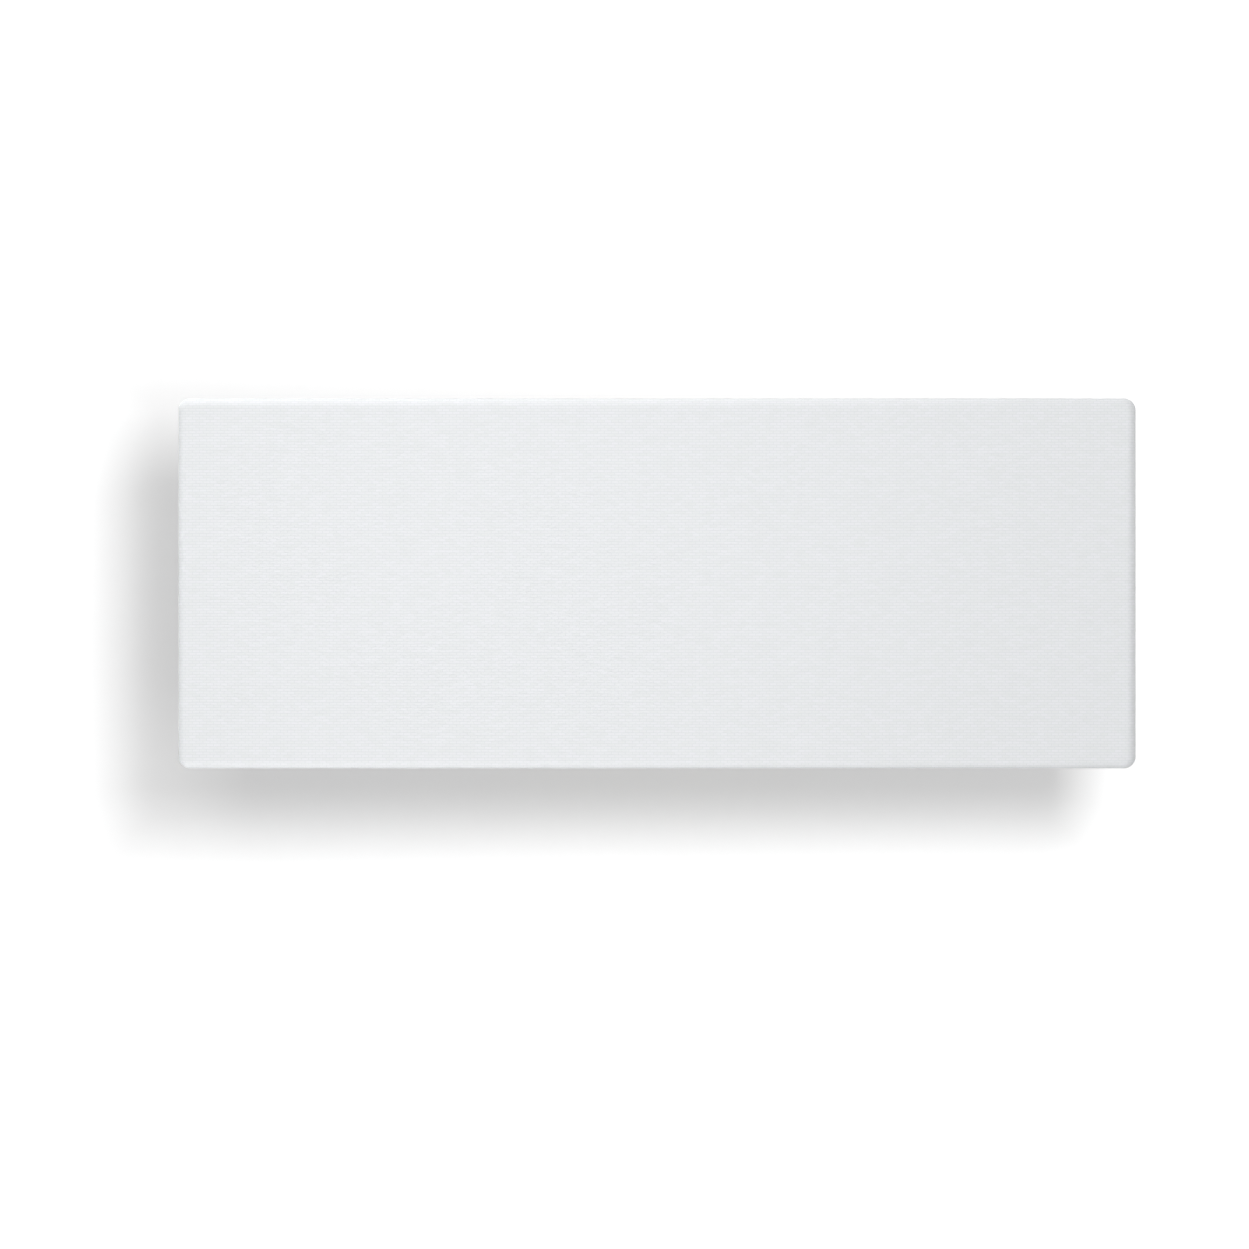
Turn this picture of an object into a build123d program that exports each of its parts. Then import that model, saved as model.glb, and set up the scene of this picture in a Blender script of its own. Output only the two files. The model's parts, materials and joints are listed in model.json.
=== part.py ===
from build123d import *
import os
from math import asin, cos, degrees, radians, sin, tan

# In-wall loudspeaker: a cloth-covered frame over two bass drivers and a dome tweeter.
# The wall's face is the XZ plane, X runs along the speaker and Z is up.
# Heights are measured from the wall's face towards the room, which is -Y.
# A piece inside the wall therefore has a negative height.

# Cover: cloth over a moulded frame
cover_width = 600.0
cover_height = 232.0
cover_front = 32.0
wall_gap = 2.0
cover_corner_radius = 7.5
cover_edge_radius = 6.0
fabric_thickness = 1.0
glue_gap = 0.1
hem_height = 12.0
frame_wall = 3.5
frame_lip_width = 22.0
frame_lip_thickness = 4.0
frame_inner_radius = 3.0
bar_width = 8.0
pillar_diameter = 12.0

# Magnets in the cover and the steel discs that they hold to
magnet_diameter = 8.0
magnet_thickness = 3.0
magnet_air_gap = 0.3
magnet_pitch = 190.0
keeper_diameter = 10.0
keeper_thickness = 1.2

# Baffle: wall flange, raised panel and skirt in one moulding
flange_clearance = 1.3
flange_thickness = 3.0
flange_overlap = 16.0
flange_corner_radius = 6.0
cutout_clearance = 1.5
skirt_wall = 3.0
skirt_depth = 18.0
skirt_corner_radius = 10.0
baffle_front = 14.0
panel_thickness = 6.0
panel_edge_radius = 2.0
rebate_depth = 3.0
rebate_clearance = 0.5
collar_depth = 5.0
rib_thickness = 2.5
rib_depth = 10.0

# Clamps: a long screw turns and draws up a dog behind the wall board
clamp_inset_x = 14.0
clamp_inset_z = 8.0
clamp_screw_diameter = 4.0
clamp_head_diameter = 8.0
clamp_head_height = 2.6
clamp_head_recess = 4.0
clamp_head_round = 0.85
clamp_slot_length = 4.8
clamp_slot_width = 1.2
clamp_slot_depth = 1.4
dog_width = 12.0
dog_thickness = 8.0
dog_tip_thickness = 5.0
dog_reach = 30.0
dog_clearance = 0.5
dog_tip_radius = 2.0
dog_groove_count = 3
dog_groove_width = 1.6
dog_groove_depth = 0.8
thinnest_board = 10.0
tower_depth = 52.0
tower_wall = 2.5
lug_thickness = 4.0
running_clearance = 0.05
hole_clearance = 0.3

# Bass drivers
woofer_margin = 11.0
woofer_land = 10.0
woofer_flange_thickness = 4.0
woofer_bolt_inset = 4.75
woofer_screw_count = 4
basket_wall = 3.5
basket_depth = 35.0
basket_bottom_radius = 42.0
basket_bottom_thickness = 2.5
basket_window_count = 6
basket_window_height = 14.0
basket_window_share = 0.62
ledge_radius = 47.5
ledge_width = 5.0
ledge_thickness = 2.5
cone_diameter = 117.0
cone_depth = 23.0
cone_thickness = 0.8
surround_roll = 5.0
surround_thickness = 0.8
surround_lip = 4.5
trim_ring_height = 1.8
trim_ring_setback = 0.5
dust_cap_diameter = 40.0
dust_cap_rise = 7.0
dust_cap_thickness = 0.8
coil_diameter = 25.6
coil_wall = 0.6
coil_length = 28.0
coil_gap = 0.5
spider_drop = 4.5
spider_thickness = 0.8
spider_wave = 1.6
spider_wave_count = 4
top_plate_diameter = 80.0
top_plate_thickness = 5.0
ferrite_diameter = 90.0
ferrite_bore = 44.0
ferrite_thickness = 15.0
yoke_thickness = 6.0
yoke_edge_chamfer = 2.0
vent_diameter = 10.0
tag_width = 18.0
tag_length = 17.0
tag_thickness = 1.6
lug_width = 3.0
lug_height = 4.0

# Tweeter
tweeter_diameter = 100.0
tweeter_flange_thickness = 4.0
tweeter_bolt_circle = 89.0
tweeter_screw_count = 4
tweeter_boss_diameter = 74.0
tweeter_boss_depth = 5.5
tweeter_mouth_diameter = 76.0
tweeter_throat_depth = 1.5
tweeter_flare = 2.5
dome_diameter = 26.4
dome_rise = 4.6
dome_roll = 1.5
dome_lip = 6.0
dome_thickness = 0.6
dome_coil_wall = 0.5
dome_coil_length = 7.0
tweeter_plate_diameter = 54.0
tweeter_plate_thickness = 4.0
tweeter_ferrite_diameter = 60.0
tweeter_ferrite_bore = 32.0
tweeter_ferrite_thickness = 12.0
tweeter_yoke_thickness = 4.0
tweeter_vent_diameter = 5.0

# Screws of the drivers and the board
head_chamfer = 0.7
driver_screw_diameter = 3.5
driver_screw_length = 12.0
driver_head_diameter = 6.0
driver_head_height = 2.2

# Crossover board and what it carries
board_width = 160.0
board_height = 100.0
board_thickness = 1.6
board_corner_radius = 4.0
board_post_length = 40.0
board_post_diameter = 9.0
board_post_inset = 7.0
component_shift = 4.0
board_screw_diameter = 3.0
board_screw_length = 9.0
board_head_diameter = 5.6
board_head_height = 2.0
big_coil_diameter = 46.0
big_coil_bore = 18.0
big_coil_height = 20.0
small_coil_diameter = 30.0
small_coil_bore = 12.0
small_coil_height = 14.0
coil_edge_radius = 1.5
capacitor_diameter = 14.0
capacitor_length = 34.0
capacitor_edge_radius = 1.0
capacitor_row_pitch = 21.0
lead_wire_diameter = 1.2
lead_wire_overhang = 4.0
lead_wire_bend = 2.0
resistor_length = 40.0
resistor_width = 9.0
resistor_pitch = 16.0

# Binding posts on the board
terminal_spacing = 24.0
post_base_diameter = 13.0
post_base_height = 3.0
post_diameter = 6.0
post_length = 22.4
post_tail_diameter = 4.0
post_tail_proud = 1.5
plug_bore_diameter = 4.1
plug_bore_depth = 12.0
wire_hole_diameter = 3.2
wire_hole_height = 6.4
knob_diameter = 15.0
knob_length = 12.0
knob_tip_gap = 1.6
knob_groove_count = 10
knob_groove_diameter = 2.0
knob_bevel = 0.8

# Inner wires
wire_diameter = 2.2
wire_arc_share = 0.45
wire_exit = 8.0
wire_loop_depth = 14.0
wire_slope = 1.0
wire_run_share = 0.25
tweeter_wire_bow = 5.0

# Cover and baffle outlines, from the outside in, as half sizes along X and Z
skin = fabric_thickness + glue_gap
cover_half = Vector(cover_width / 2, cover_height / 2)


def inset(half, amount):
    """Half sizes of an outline drawn in by the same amount all round."""
    return Vector(half.X - amount, half.Y - amount)


frame_half = inset(cover_half, skin)
frame_inner_half = inset(frame_half, frame_wall)
window_half = inset(frame_half, frame_lip_width)
hem_outer_half = inset(frame_inner_half, glue_gap)
hem_inner_half = inset(hem_outer_half, fabric_thickness)
flange_half = inset(hem_inner_half, flange_clearance)
skirt_half = inset(flange_half, flange_overlap + cutout_clearance)
skirt_inner_half = inset(skirt_half, skirt_wall)

# Heights of the main faces
frame_front = cover_front - skin
frame_rear = wall_gap + skin
panel_back = baffle_front - panel_thickness
driver_seat = baffle_front - rebate_depth
keeper_front = flange_thickness + keeper_thickness
magnet_rear = keeper_front + magnet_air_gap
board_front = panel_back - board_post_length
board_back = board_front - board_thickness
clamp_seat = baffle_front - clamp_head_recess
lug_front = -tower_depth + lug_thickness
dog_rear = lug_front + dog_clearance
dog_front = dog_rear + dog_thickness

# Places along X and Z
woofer_flange_bore = cone_diameter / 2 + 2 * surround_roll
woofer_radius = woofer_flange_bore + surround_lip + woofer_land
woofer_bolt_circle = 2 * (woofer_radius - woofer_bolt_inset)
woofer_x = skirt_half.X - woofer_margin - woofer_radius
tweeter_radius = tweeter_diameter / 2
bar_x = (woofer_x - woofer_radius + tweeter_radius) / 2
magnet_row = (skirt_half + flange_half) * 0.5
magnet_places = [(x, side * magnet_row.Y) for side in (-1, 1) for x in (-magnet_pitch, 0, magnet_pitch)]
magnet_places += [(-magnet_row.X, 0), (magnet_row.X, 0)]
post_x = board_width / 2 - board_post_inset
post_z = board_height / 2 - board_post_inset
board_post_places = [(sx * post_x, sz * post_z) for sx in (-1, 1) for sz in (-1, 1)]
clamp_x = skirt_half.X - clamp_inset_x
clamp_z = skirt_half.Y - clamp_inset_z

# Each clamp: its place, the way its dog lies when stowed (along X) and the way it swings out (along Z)
clamps = [(sx * clamp_x, sz * clamp_z, -sx, sz) for sz in (1, -1) for sx in (-1, 1)]
clamps += [(0, sz * clamp_z, 1, sz) for sz in (1, -1)]

WALL = Plane(origin=(0, 0, 0), x_dir=(1, 0, 0), z_dir=(0, -1, 0))


def level(height):
    """Plane along the wall at a height: X to the right and Z up, seen from the room."""
    return WALL.offset(height)


def half_section(x, z=0):
    """Plane through a driver's axis for half sections: radius to the right, height up."""
    return Plane(origin=(x, 0, z), x_dir=(1, 0, 0), z_dir=(0, 0, -1))


def facing(x, angle, height):
    """Plane square to a radius of a driver, with its normal pointing outwards along that radius."""
    outwards = (cos(radians(angle)), 0, sin(radians(angle)))
    return Plane(origin=(x, -height, 0), x_dir=(-outwards[2], 0, outwards[0]), z_dir=outwards)


def axis_at(x, z=0):
    """Axis square to the wall, pointing into the room."""
    return Axis((x, 0, z), (0, -1, 0))


def save(part, name):
    """Label a finished piece and write it under its own name."""
    part.label = name
    export_step(part, f"parts/{name}.step")


def outline(half, radius):
    """Rounded rectangle of the given half sizes, in the sketch that is open."""
    RectangleRounded(2 * half.X, 2 * half.Y, radius)


def ring(x, outer, inner, rear, front):
    """Flat ring square to the wall, between two heights."""
    with BuildPart() as washer:
        with BuildSketch(level(rear)):
            with Locations((x, 0)):
                Circle(outer)
                Circle(inner, mode=Mode.SUBTRACT)
        extrude(amount=front - rear)
    return washer.part


def discs(places, diameter, rear, front):
    """Like discs at several places, between two heights."""
    with BuildPart() as group:
        with BuildSketch(level(rear)):
            with Locations(*places):
                Circle(diameter / 2)
        extrude(amount=front - rear)
    return group.part


def cap_band(chord_radius, rise, thickness, base):
    """Half section of a domed cap, in the sketch that is open: its edge stands on the base height."""
    radius = (chord_radius**2 + rise**2) / (2 * rise)
    centre = base + rise - radius
    inner = radius - thickness
    inner_span = degrees(asin((base - centre) / inner))
    outer_span = degrees(asin((base - centre) / radius))
    with BuildLine() as band:
        outer_arc = CenterArc((0, centre), radius, outer_span, 90 - outer_span)
        inner_arc = CenterArc((0, centre), inner, inner_span, 90 - inner_span)
        Line(outer_arc @ 0, inner_arc @ 0)
        Line(outer_arc @ 1, inner_arc @ 1)
    make_face(band.edges())


def roll_band(centre, base, radius, thickness):
    """Half section of a half-round roll that stands on the base height, in the sketch that is open."""
    with BuildLine() as band:
        outer_arc = CenterArc((centre, base), radius, 0, 180)
        inner_arc = CenterArc((centre, base), radius - thickness, 0, 180)
        Line(outer_arc @ 0, inner_arc @ 0)
        Line(outer_arc @ 1, inner_arc @ 1)
    make_face(band.edges())


def flat_band(inner, outer, base, thickness):
    """Half section of a flat ring, in the sketch that is open."""
    with Locations((inner, base)):
        Rectangle(outer - inner, thickness, align=(Align.MIN, Align.MIN))


def cover_block(inset_by, rear, front):
    """Block with the cover's outline drawn in, and its front edge rounded over."""
    with BuildPart() as block:
        with BuildSketch(level(rear)):
            outline(inset(cover_half, inset_by), cover_corner_radius - inset_by)
        extrude(amount=front - rear)
        fillet(block.faces().sort_by(Axis.Y)[0].edges(), cover_edge_radius - inset_by)
    return block.part


# Cloth of the cover: over the front and sides, round the rim and up behind it
def make_cover_fabric():
    with BuildPart() as cover_fabric:
        add(cover_block(0, wall_gap, cover_front))
        add(cover_block(fabric_thickness, wall_gap + fabric_thickness, cover_front - fabric_thickness),
            mode=Mode.SUBTRACT)
        with BuildSketch(level(wall_gap)):
            outline(hem_inner_half, frame_inner_radius - glue_gap - fabric_thickness)
        extrude(amount=fabric_thickness, mode=Mode.SUBTRACT)
        with BuildSketch(level(wall_gap)):
            outline(hem_outer_half, frame_inner_radius - glue_gap)
            RectangleRounded(2 * hem_inner_half.X, 2 * hem_inner_half.Y,
                             frame_inner_radius - glue_gap - fabric_thickness, mode=Mode.SUBTRACT)
        extrude(amount=hem_height)
    return cover_fabric.part


# Frame of the cover: side wall, front lip, cross bars and pillars for the magnets
def make_cover_frame():
    with BuildPart() as cover_frame:
        add(cover_block(skin, frame_rear, frame_front))
        with BuildSketch(level(frame_rear)):
            outline(frame_inner_half, frame_inner_radius)
        extrude(amount=frame_front - frame_lip_thickness - frame_rear, mode=Mode.SUBTRACT)
        with BuildSketch(level(frame_rear)):
            outline(window_half, frame_inner_radius)
        extrude(amount=frame_front - frame_rear, mode=Mode.SUBTRACT)
        with BuildSketch(level(frame_front - frame_lip_thickness)):
            with Locations((-bar_x, 0), (bar_x, 0)):
                Rectangle(bar_width, 2 * window_half.Y)
        extrude(amount=frame_lip_thickness)
        with BuildSketch(level(magnet_rear)):
            with Locations(*magnet_places):
                Circle(pillar_diameter / 2)
        extrude(amount=frame_front - frame_lip_thickness - magnet_rear)
        with BuildSketch(level(magnet_rear)):
            with Locations(*magnet_places):
                Circle(magnet_diameter / 2 + running_clearance)
        extrude(amount=magnet_thickness, mode=Mode.SUBTRACT)
    return cover_frame.part


def bolt_places(x, count, bolt_circle):
    """Places of a driver's screws."""
    angles = [radians((i + 0.5) * 360 / count) for i in range(count)]
    return [(x + bolt_circle / 2 * cos(a), bolt_circle / 2 * sin(a)) for a in angles]


def driver_holes(count, bolt_circle, x, diameter, rear, front):
    """Holes for a driver's screws, cut from the part that is open."""
    with BuildSketch(level(rear)) as holes:
        with Locations(*bolt_places(x, count, bolt_circle)):
            Circle(diameter / 2)
    extrude(holes.sketch, amount=front - rear, mode=Mode.SUBTRACT)


def driver_opening(x, flange_diameter, hole_radius):
    """Screw collar behind the panel, rebate in its front and the hole for a driver's back."""
    collar_back = panel_back - collar_depth
    with BuildSketch(level(collar_back)) as collar:
        with Locations((x, 0)):
            Circle(flange_diameter / 2)
    extrude(collar.sketch, amount=collar_depth)
    with BuildSketch(level(driver_seat)) as rebate:
        with Locations((x, 0)):
            Circle(flange_diameter / 2 + rebate_clearance)
    extrude(rebate.sketch, amount=rebate_depth, mode=Mode.SUBTRACT)
    with BuildSketch(level(collar_back)) as hole:
        with Locations((x, 0)):
            Circle(hole_radius)
    extrude(hole.sketch, amount=baffle_front - collar_back, mode=Mode.SUBTRACT)


def clamp_tower(x, z, stow, out):
    """Tower behind the panel: a back plate, a stop plate and a lug that holds the screw's tip."""
    reach = dog_width / 2 + dog_clearance
    width = 2 * reach + tower_wall
    with BuildSketch(level(-tower_depth)) as plates:
        with Locations((x - stow * tower_wall / 2, z - out * (reach + tower_wall / 2))):
            Rectangle(width, tower_wall)
        with Locations((x - stow * (reach + tower_wall / 2), z)):
            Rectangle(tower_wall, 2 * reach)
    extrude(plates.sketch, amount=tower_depth + panel_back)
    with BuildSketch(level(-tower_depth)) as lug:
        with Locations((x - stow * tower_wall / 2, z)):
            Rectangle(width, 2 * reach)
    extrude(lug.sketch, amount=lug_thickness)


def clamp_holes(x, z):
    """Hole for a clamp's screw through the panel and the lug, and the recess for its head."""
    with BuildSketch(level(-tower_depth)) as shank:
        with Locations((x, z)):
            Circle(clamp_screw_diameter / 2 + hole_clearance)
    extrude(shank.sketch, amount=tower_depth + baffle_front, mode=Mode.SUBTRACT)
    with BuildSketch(level(clamp_seat)) as head:
        with Locations((x, z)):
            Circle(clamp_head_diameter / 2 + hole_clearance)
    extrude(head.sketch, amount=clamp_head_recess, mode=Mode.SUBTRACT)


def skirt_gap(x, z, stow, out):
    """Gap in the skirt for a dog, from the thinnest wall board backwards."""
    near = dog_width / 2 + dog_clearance
    far = dog_reach + dog_width / 2
    with BuildSketch(level(-skirt_depth)) as gap:
        with Locations((x + stow * (far - near) / 2, out * skirt_half.Y)):
            Rectangle(near + far, 2 * (skirt_half.Y - abs(z) + near))
    extrude(gap.sketch, amount=skirt_depth - thinnest_board + 2 * dog_clearance, mode=Mode.SUBTRACT)


woofer_hole_radius = woofer_flange_bore + basket_wall + 2 * rebate_clearance
woofer_rim_radius = woofer_flange_bore + basket_wall
tweeter_hole_radius = tweeter_boss_diameter / 2 + 2 * rebate_clearance


# Baffle: flange on the wall, raised panel, skirt, driver seats, board posts and clamp towers
def make_baffle():
    with BuildPart() as baffle:
        with BuildSketch(level(-skirt_depth)):
            outline(skirt_half, skirt_corner_radius)
        extrude(amount=skirt_depth + baffle_front)
        fillet(baffle.faces().sort_by(Axis.Y)[0].edges(), panel_edge_radius)
        with BuildSketch(level(0)):
            outline(flange_half, flange_corner_radius)
        extrude(amount=flange_thickness)
        with BuildSketch(level(-skirt_depth)):
            outline(skirt_inner_half, skirt_corner_radius - skirt_wall)
        extrude(amount=skirt_depth + panel_back, mode=Mode.SUBTRACT)
        for x, z, stow, out in clamps:
            skirt_gap(x, z, stow, out)
        with BuildSketch(level(panel_back - rib_depth)):
            with Locations((-post_x, 0), (post_x, 0)):
                Rectangle(rib_thickness, 2 * skirt_inner_half.Y)
        extrude(amount=rib_depth)
        with BuildSketch(level(board_front)):
            with Locations(*board_post_places):
                Circle(board_post_diameter / 2)
        extrude(amount=board_post_length)
        for x, z, stow, out in clamps:
            clamp_tower(x, z, stow, out)
        for x in (-woofer_x, woofer_x):
            driver_opening(x, 2 * woofer_radius, woofer_hole_radius)
        driver_opening(0, tweeter_diameter, tweeter_hole_radius)
        pilot = driver_screw_diameter + 2 * running_clearance
        for x in (-woofer_x, woofer_x):
            driver_holes(woofer_screw_count, woofer_bolt_circle, x, pilot,
                         panel_back - collar_depth, driver_seat)
        driver_holes(tweeter_screw_count, tweeter_bolt_circle, 0, pilot,
                     panel_back - collar_depth, driver_seat)
        with BuildSketch(level(board_front)):
            with Locations(*board_post_places):
                Circle(board_screw_diameter / 2 + running_clearance)
        extrude(amount=board_screw_length, mode=Mode.SUBTRACT)
        for x, z, stow, out in clamps:
            clamp_holes(x, z)
    return baffle.part


# Clamp screw: pan head with a cross recess, and a plain shank as thick as its thread
def make_clamp_screw(x, z):
    with BuildPart() as clamp_screw:
        with BuildSketch(level(clamp_seat)):
            with Locations((x, z)):
                Circle(clamp_head_diameter / 2)
        extrude(amount=clamp_head_height)
        fillet(clamp_screw.edges().sort_by(Axis.Y)[0], clamp_head_round)
        with BuildSketch(level(clamp_seat + clamp_head_height - clamp_slot_depth)):
            with Locations((x, z)):
                Rectangle(clamp_slot_length, clamp_slot_width)
                Rectangle(clamp_slot_width, clamp_slot_length)
        extrude(amount=clamp_slot_depth, mode=Mode.SUBTRACT)
        with BuildSketch(level(-tower_depth + dog_clearance)):
            with Locations((x, z)):
                Circle(clamp_screw_diameter / 2)
        extrude(amount=tower_depth - dog_clearance + clamp_seat)
    return clamp_screw.part


# Clamp dog: an arm with a tapered back and a grooved pad that bites on the wall board
def make_clamp_dog(x, z, stow):
    with BuildPart() as clamp_dog:
        with BuildSketch(level(dog_rear)) as plan:
            with Locations((x, z)):
                Circle(dog_width / 2)
            with Locations((x + stow * dog_reach / 2, z)):
                Rectangle(dog_reach, dog_width)
            fillet(plan.vertices().group_by(Axis.X)[-1 if stow > 0 else 0], dog_tip_radius)
        extrude(amount=dog_thickness)
        taper_start = x + stow * dog_width / 2
        taper_end = x + stow * dog_reach
        with BuildSketch(Plane(origin=(0, 0, z), x_dir=(1, 0, 0), z_dir=(0, 0, -1))):
            with BuildLine():
                Polyline((taper_start, dog_rear), (taper_end, dog_rear),
                         (taper_end, dog_front - dog_tip_thickness), close=True)
            make_face()
        extrude(amount=dog_width, both=True, mode=Mode.SUBTRACT)
        with BuildSketch(level(dog_front - dog_groove_depth)):
            for i in range(dog_groove_count):
                with Locations((taper_end - stow * dog_groove_width * (2 * i + 2), z)):
                    Rectangle(dog_groove_width, dog_width)
        extrude(amount=dog_groove_depth, mode=Mode.SUBTRACT)
        with BuildSketch(level(dog_rear)):
            with Locations((x, z)):
                Circle(clamp_screw_diameter / 2 + running_clearance)
        extrude(amount=dog_thickness, mode=Mode.SUBTRACT)
    return clamp_dog.part


# Heights and radii inside a bass driver
woofer_front = driver_seat + woofer_flange_thickness
basket_bottom = driver_seat - basket_depth
coil_radius = coil_diameter / 2
coil_outer = coil_radius + coil_wall
cone_neck = woofer_front - cone_depth
spider_seat = cone_neck - spider_drop
spider_front = spider_seat + glue_gap + spider_thickness
ledge_back = spider_seat - ledge_thickness
cone_bore = coil_outer + running_clearance
cone_edge = cone_diameter / 2 - surround_lip
cone_slope = cone_depth / (cone_edge - cone_bore)
coil_front = cone_neck
plate_rear = basket_bottom - top_plate_thickness
ferrite_rear = plate_rear - ferrite_thickness
yoke_rear = ferrite_rear - yoke_thickness


# Basket: flange, windowed cone, spider ledge and the cup that carries the motor
def make_basket(x):
    with BuildPart() as basket:
        with BuildSketch(half_section(x)):
            with BuildLine():
                Polyline(
                    (woofer_flange_bore, woofer_front),
                    (woofer_radius, woofer_front),
                    (woofer_radius, driver_seat),
                    (woofer_rim_radius, driver_seat),
                    (ledge_radius + basket_wall, spider_seat),
                    (ledge_radius + basket_wall, ledge_back),
                    (ledge_radius - ledge_width / 2, ledge_back),
                    (basket_bottom_radius, basket_bottom),
                    (ferrite_bore / 2, basket_bottom),
                    (ferrite_bore / 2, basket_bottom + basket_bottom_thickness),
                    (basket_bottom_radius - basket_bottom_thickness, basket_bottom + basket_bottom_thickness),
                    (ledge_radius - ledge_width, spider_seat),
                    (ledge_radius, spider_seat),
                    (woofer_flange_bore, driver_seat - basket_wall / 2),
                    close=True,
                )
            make_face()
        revolve(axis=axis_at(x))
        middle = (driver_seat + spider_seat) / 2
        pitch = 360 / basket_window_count
        wide = 2 * woofer_rim_radius * sin(radians(pitch * basket_window_share / 2))
        narrow = 2 * ledge_radius * sin(radians(pitch * basket_window_share / 2))
        for i in range(basket_window_count):
            with BuildSketch(facing(x, i * pitch + pitch / 2, middle)) as window:
                with BuildLine():
                    Polyline((-wide / 2, -basket_window_height / 2), (wide / 2, -basket_window_height / 2),
                             (narrow / 2, basket_window_height / 2), (-narrow / 2, basket_window_height / 2),
                             close=True)
                make_face()
                fillet(window.vertices(), basket_wall)
            extrude(amount=woofer_radius, mode=Mode.SUBTRACT)
        driver_holes(woofer_screw_count, woofer_bolt_circle, x,
                     driver_screw_diameter + 2 * hole_clearance, driver_seat, woofer_front)
    return basket.part


# Cone: rim for the surround, straight flare and a collar glued on the voice coil
def make_cone(x):
    with BuildPart() as cone:
        with BuildSketch(half_section(x)):
            with BuildLine():
                Polyline(
                    (cone_bore, cone_neck),
                    (cone_edge, woofer_front),
                    (cone_diameter / 2, woofer_front),
                    (cone_diameter / 2, woofer_front - cone_thickness),
                    (cone_edge + cone_thickness / 2, woofer_front - cone_thickness),
                    (cone_bore + cone_thickness, cone_neck - cone_thickness),
                    (cone_bore + cone_thickness, spider_front + glue_gap),
                    (cone_bore, spider_front + glue_gap),
                    close=True,
                )
            make_face()
        revolve(axis=axis_at(x))
    return cone.part


# Dust cap: a dome glued on the cone
def make_dust_cap(x):
    chord = dust_cap_diameter / 2
    base = cone_neck + (chord - cone_bore) * cone_slope + glue_gap
    with BuildPart() as dust_cap:
        with BuildSketch(half_section(x)):
            cap_band(chord, dust_cap_rise, dust_cap_thickness, base)
        revolve(axis=axis_at(x))
    return dust_cap.part


# Surround: a half-round rubber roll between the cone's rim and the basket's flange
def make_surround(x):
    rim = cone_diameter / 2
    with BuildPart() as surround:
        with BuildSketch(half_section(x)):
            roll_band(rim + surround_roll, woofer_front, surround_roll, surround_thickness)
            flat_band(rim - surround_lip, rim + surround_thickness, woofer_front, surround_thickness)
            flat_band(woofer_flange_bore - surround_thickness, woofer_flange_bore + surround_lip,
                      woofer_front, surround_thickness)
        revolve(axis=axis_at(x))
    return surround.part


# Spider: a ring of cloth pressed in waves that centres the coil
def make_spider(x):
    inner = coil_outer + running_clearance
    base = spider_seat + glue_gap
    start = cone_bore + cone_thickness + spider_wave
    step = (ledge_radius - ledge_width - start) / (2 * spider_wave_count)
    with BuildPart() as spider:
        with BuildSketch(half_section(x)):
            with BuildLine():
                for shift in (0, spider_thickness):
                    Line((inner, base + shift), (start, base + shift))
                    for i in range(2 * spider_wave_count):
                        left = start + i * step
                        swing = spider_wave / 2 if i % 2 == 0 else -spider_wave / 2
                        ThreePointArc((left, base + shift), (left + step / 2, base + shift + swing),
                                      (left + step, base + shift))
                    Line((ledge_radius - ledge_width, base + shift), (ledge_radius - glue_gap, base + shift))
                Line((inner, base), (inner, base + spider_thickness))
                Line((ledge_radius - glue_gap, base), (ledge_radius - glue_gap, base + spider_thickness))
            make_face()
        revolve(axis=axis_at(x))
    return spider.part


# Yoke: the motor's back plate with its vented pole
def make_yoke(x, pole_radius, plate_radius, rear, front, pole_front, vent):
    with BuildPart() as yoke:
        with BuildSketch(half_section(x)):
            with BuildLine():
                Polyline(
                    (vent, rear),
                    (plate_radius - yoke_edge_chamfer, rear),
                    (plate_radius, rear + yoke_edge_chamfer),
                    (plate_radius, front),
                    (pole_radius, front),
                    (pole_radius, pole_front),
                    (vent, pole_front),
                    close=True,
                )
            make_face()
        revolve(axis=axis_at(x))
    return yoke.part


# Tag strip: a board under the basket's ledge, on the side towards the tweeter, with two solder lugs
def make_tag_strip(x, side):
    tag_front = ledge_back
    tag_inner = ledge_radius + basket_wall - ledge_width
    tag_middle = x - side * (tag_inner + tag_length / 2)
    lug_x = x - side * (tag_inner + tag_length - lug_width)
    with BuildPart() as tag_strip:
        with BuildSketch(level(tag_front - tag_thickness)):
            with Locations((tag_middle, 0)):
                Rectangle(tag_length, tag_width)
        extrude(amount=tag_thickness)
        with BuildSketch(level(tag_front)):
            with Locations((lug_x, -tag_width / 4), (lug_x, tag_width / 4)):
                Rectangle(tag_thickness, lug_width)
        extrude(amount=lug_height)
    return tag_strip.part


def screw_group(places, seat, toward_room, diameter, length, head_diameter, head_height):
    """Like screws at several places: domed heads on the seat, shanks the other way."""
    with BuildPart() as group:
        with BuildSketch(level(seat)):
            with Locations(*places):
                Circle(head_diameter / 2)
        extrude(amount=toward_room * head_height)
        outer_face = group.faces().filter_by(Axis.Y).group_by(Axis.Y)[0 if toward_room > 0 else -1]
        chamfer(outer_face.edges(), head_chamfer)
        with BuildSketch(level(seat)):
            with Locations(*places):
                Circle(diameter / 2)
        extrude(amount=-toward_room * length)
    return group.part


# Heights and radii inside the tweeter
tweeter_front = driver_seat + tweeter_flange_thickness
tweeter_boss_rear = driver_seat - tweeter_boss_depth
dome_radius = dome_diameter / 2
dome_base = tweeter_boss_rear - dome_thickness
throat_radius = dome_radius + 2 * dome_roll
tweeter_plate_rear = dome_base - tweeter_plate_thickness
tweeter_ferrite_rear = tweeter_plate_rear - tweeter_ferrite_thickness
tweeter_yoke_rear = tweeter_ferrite_rear - tweeter_yoke_thickness
dome_coil_outer = dome_radius - glue_gap
dome_coil_inner = dome_coil_outer - dome_coil_wall


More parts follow.
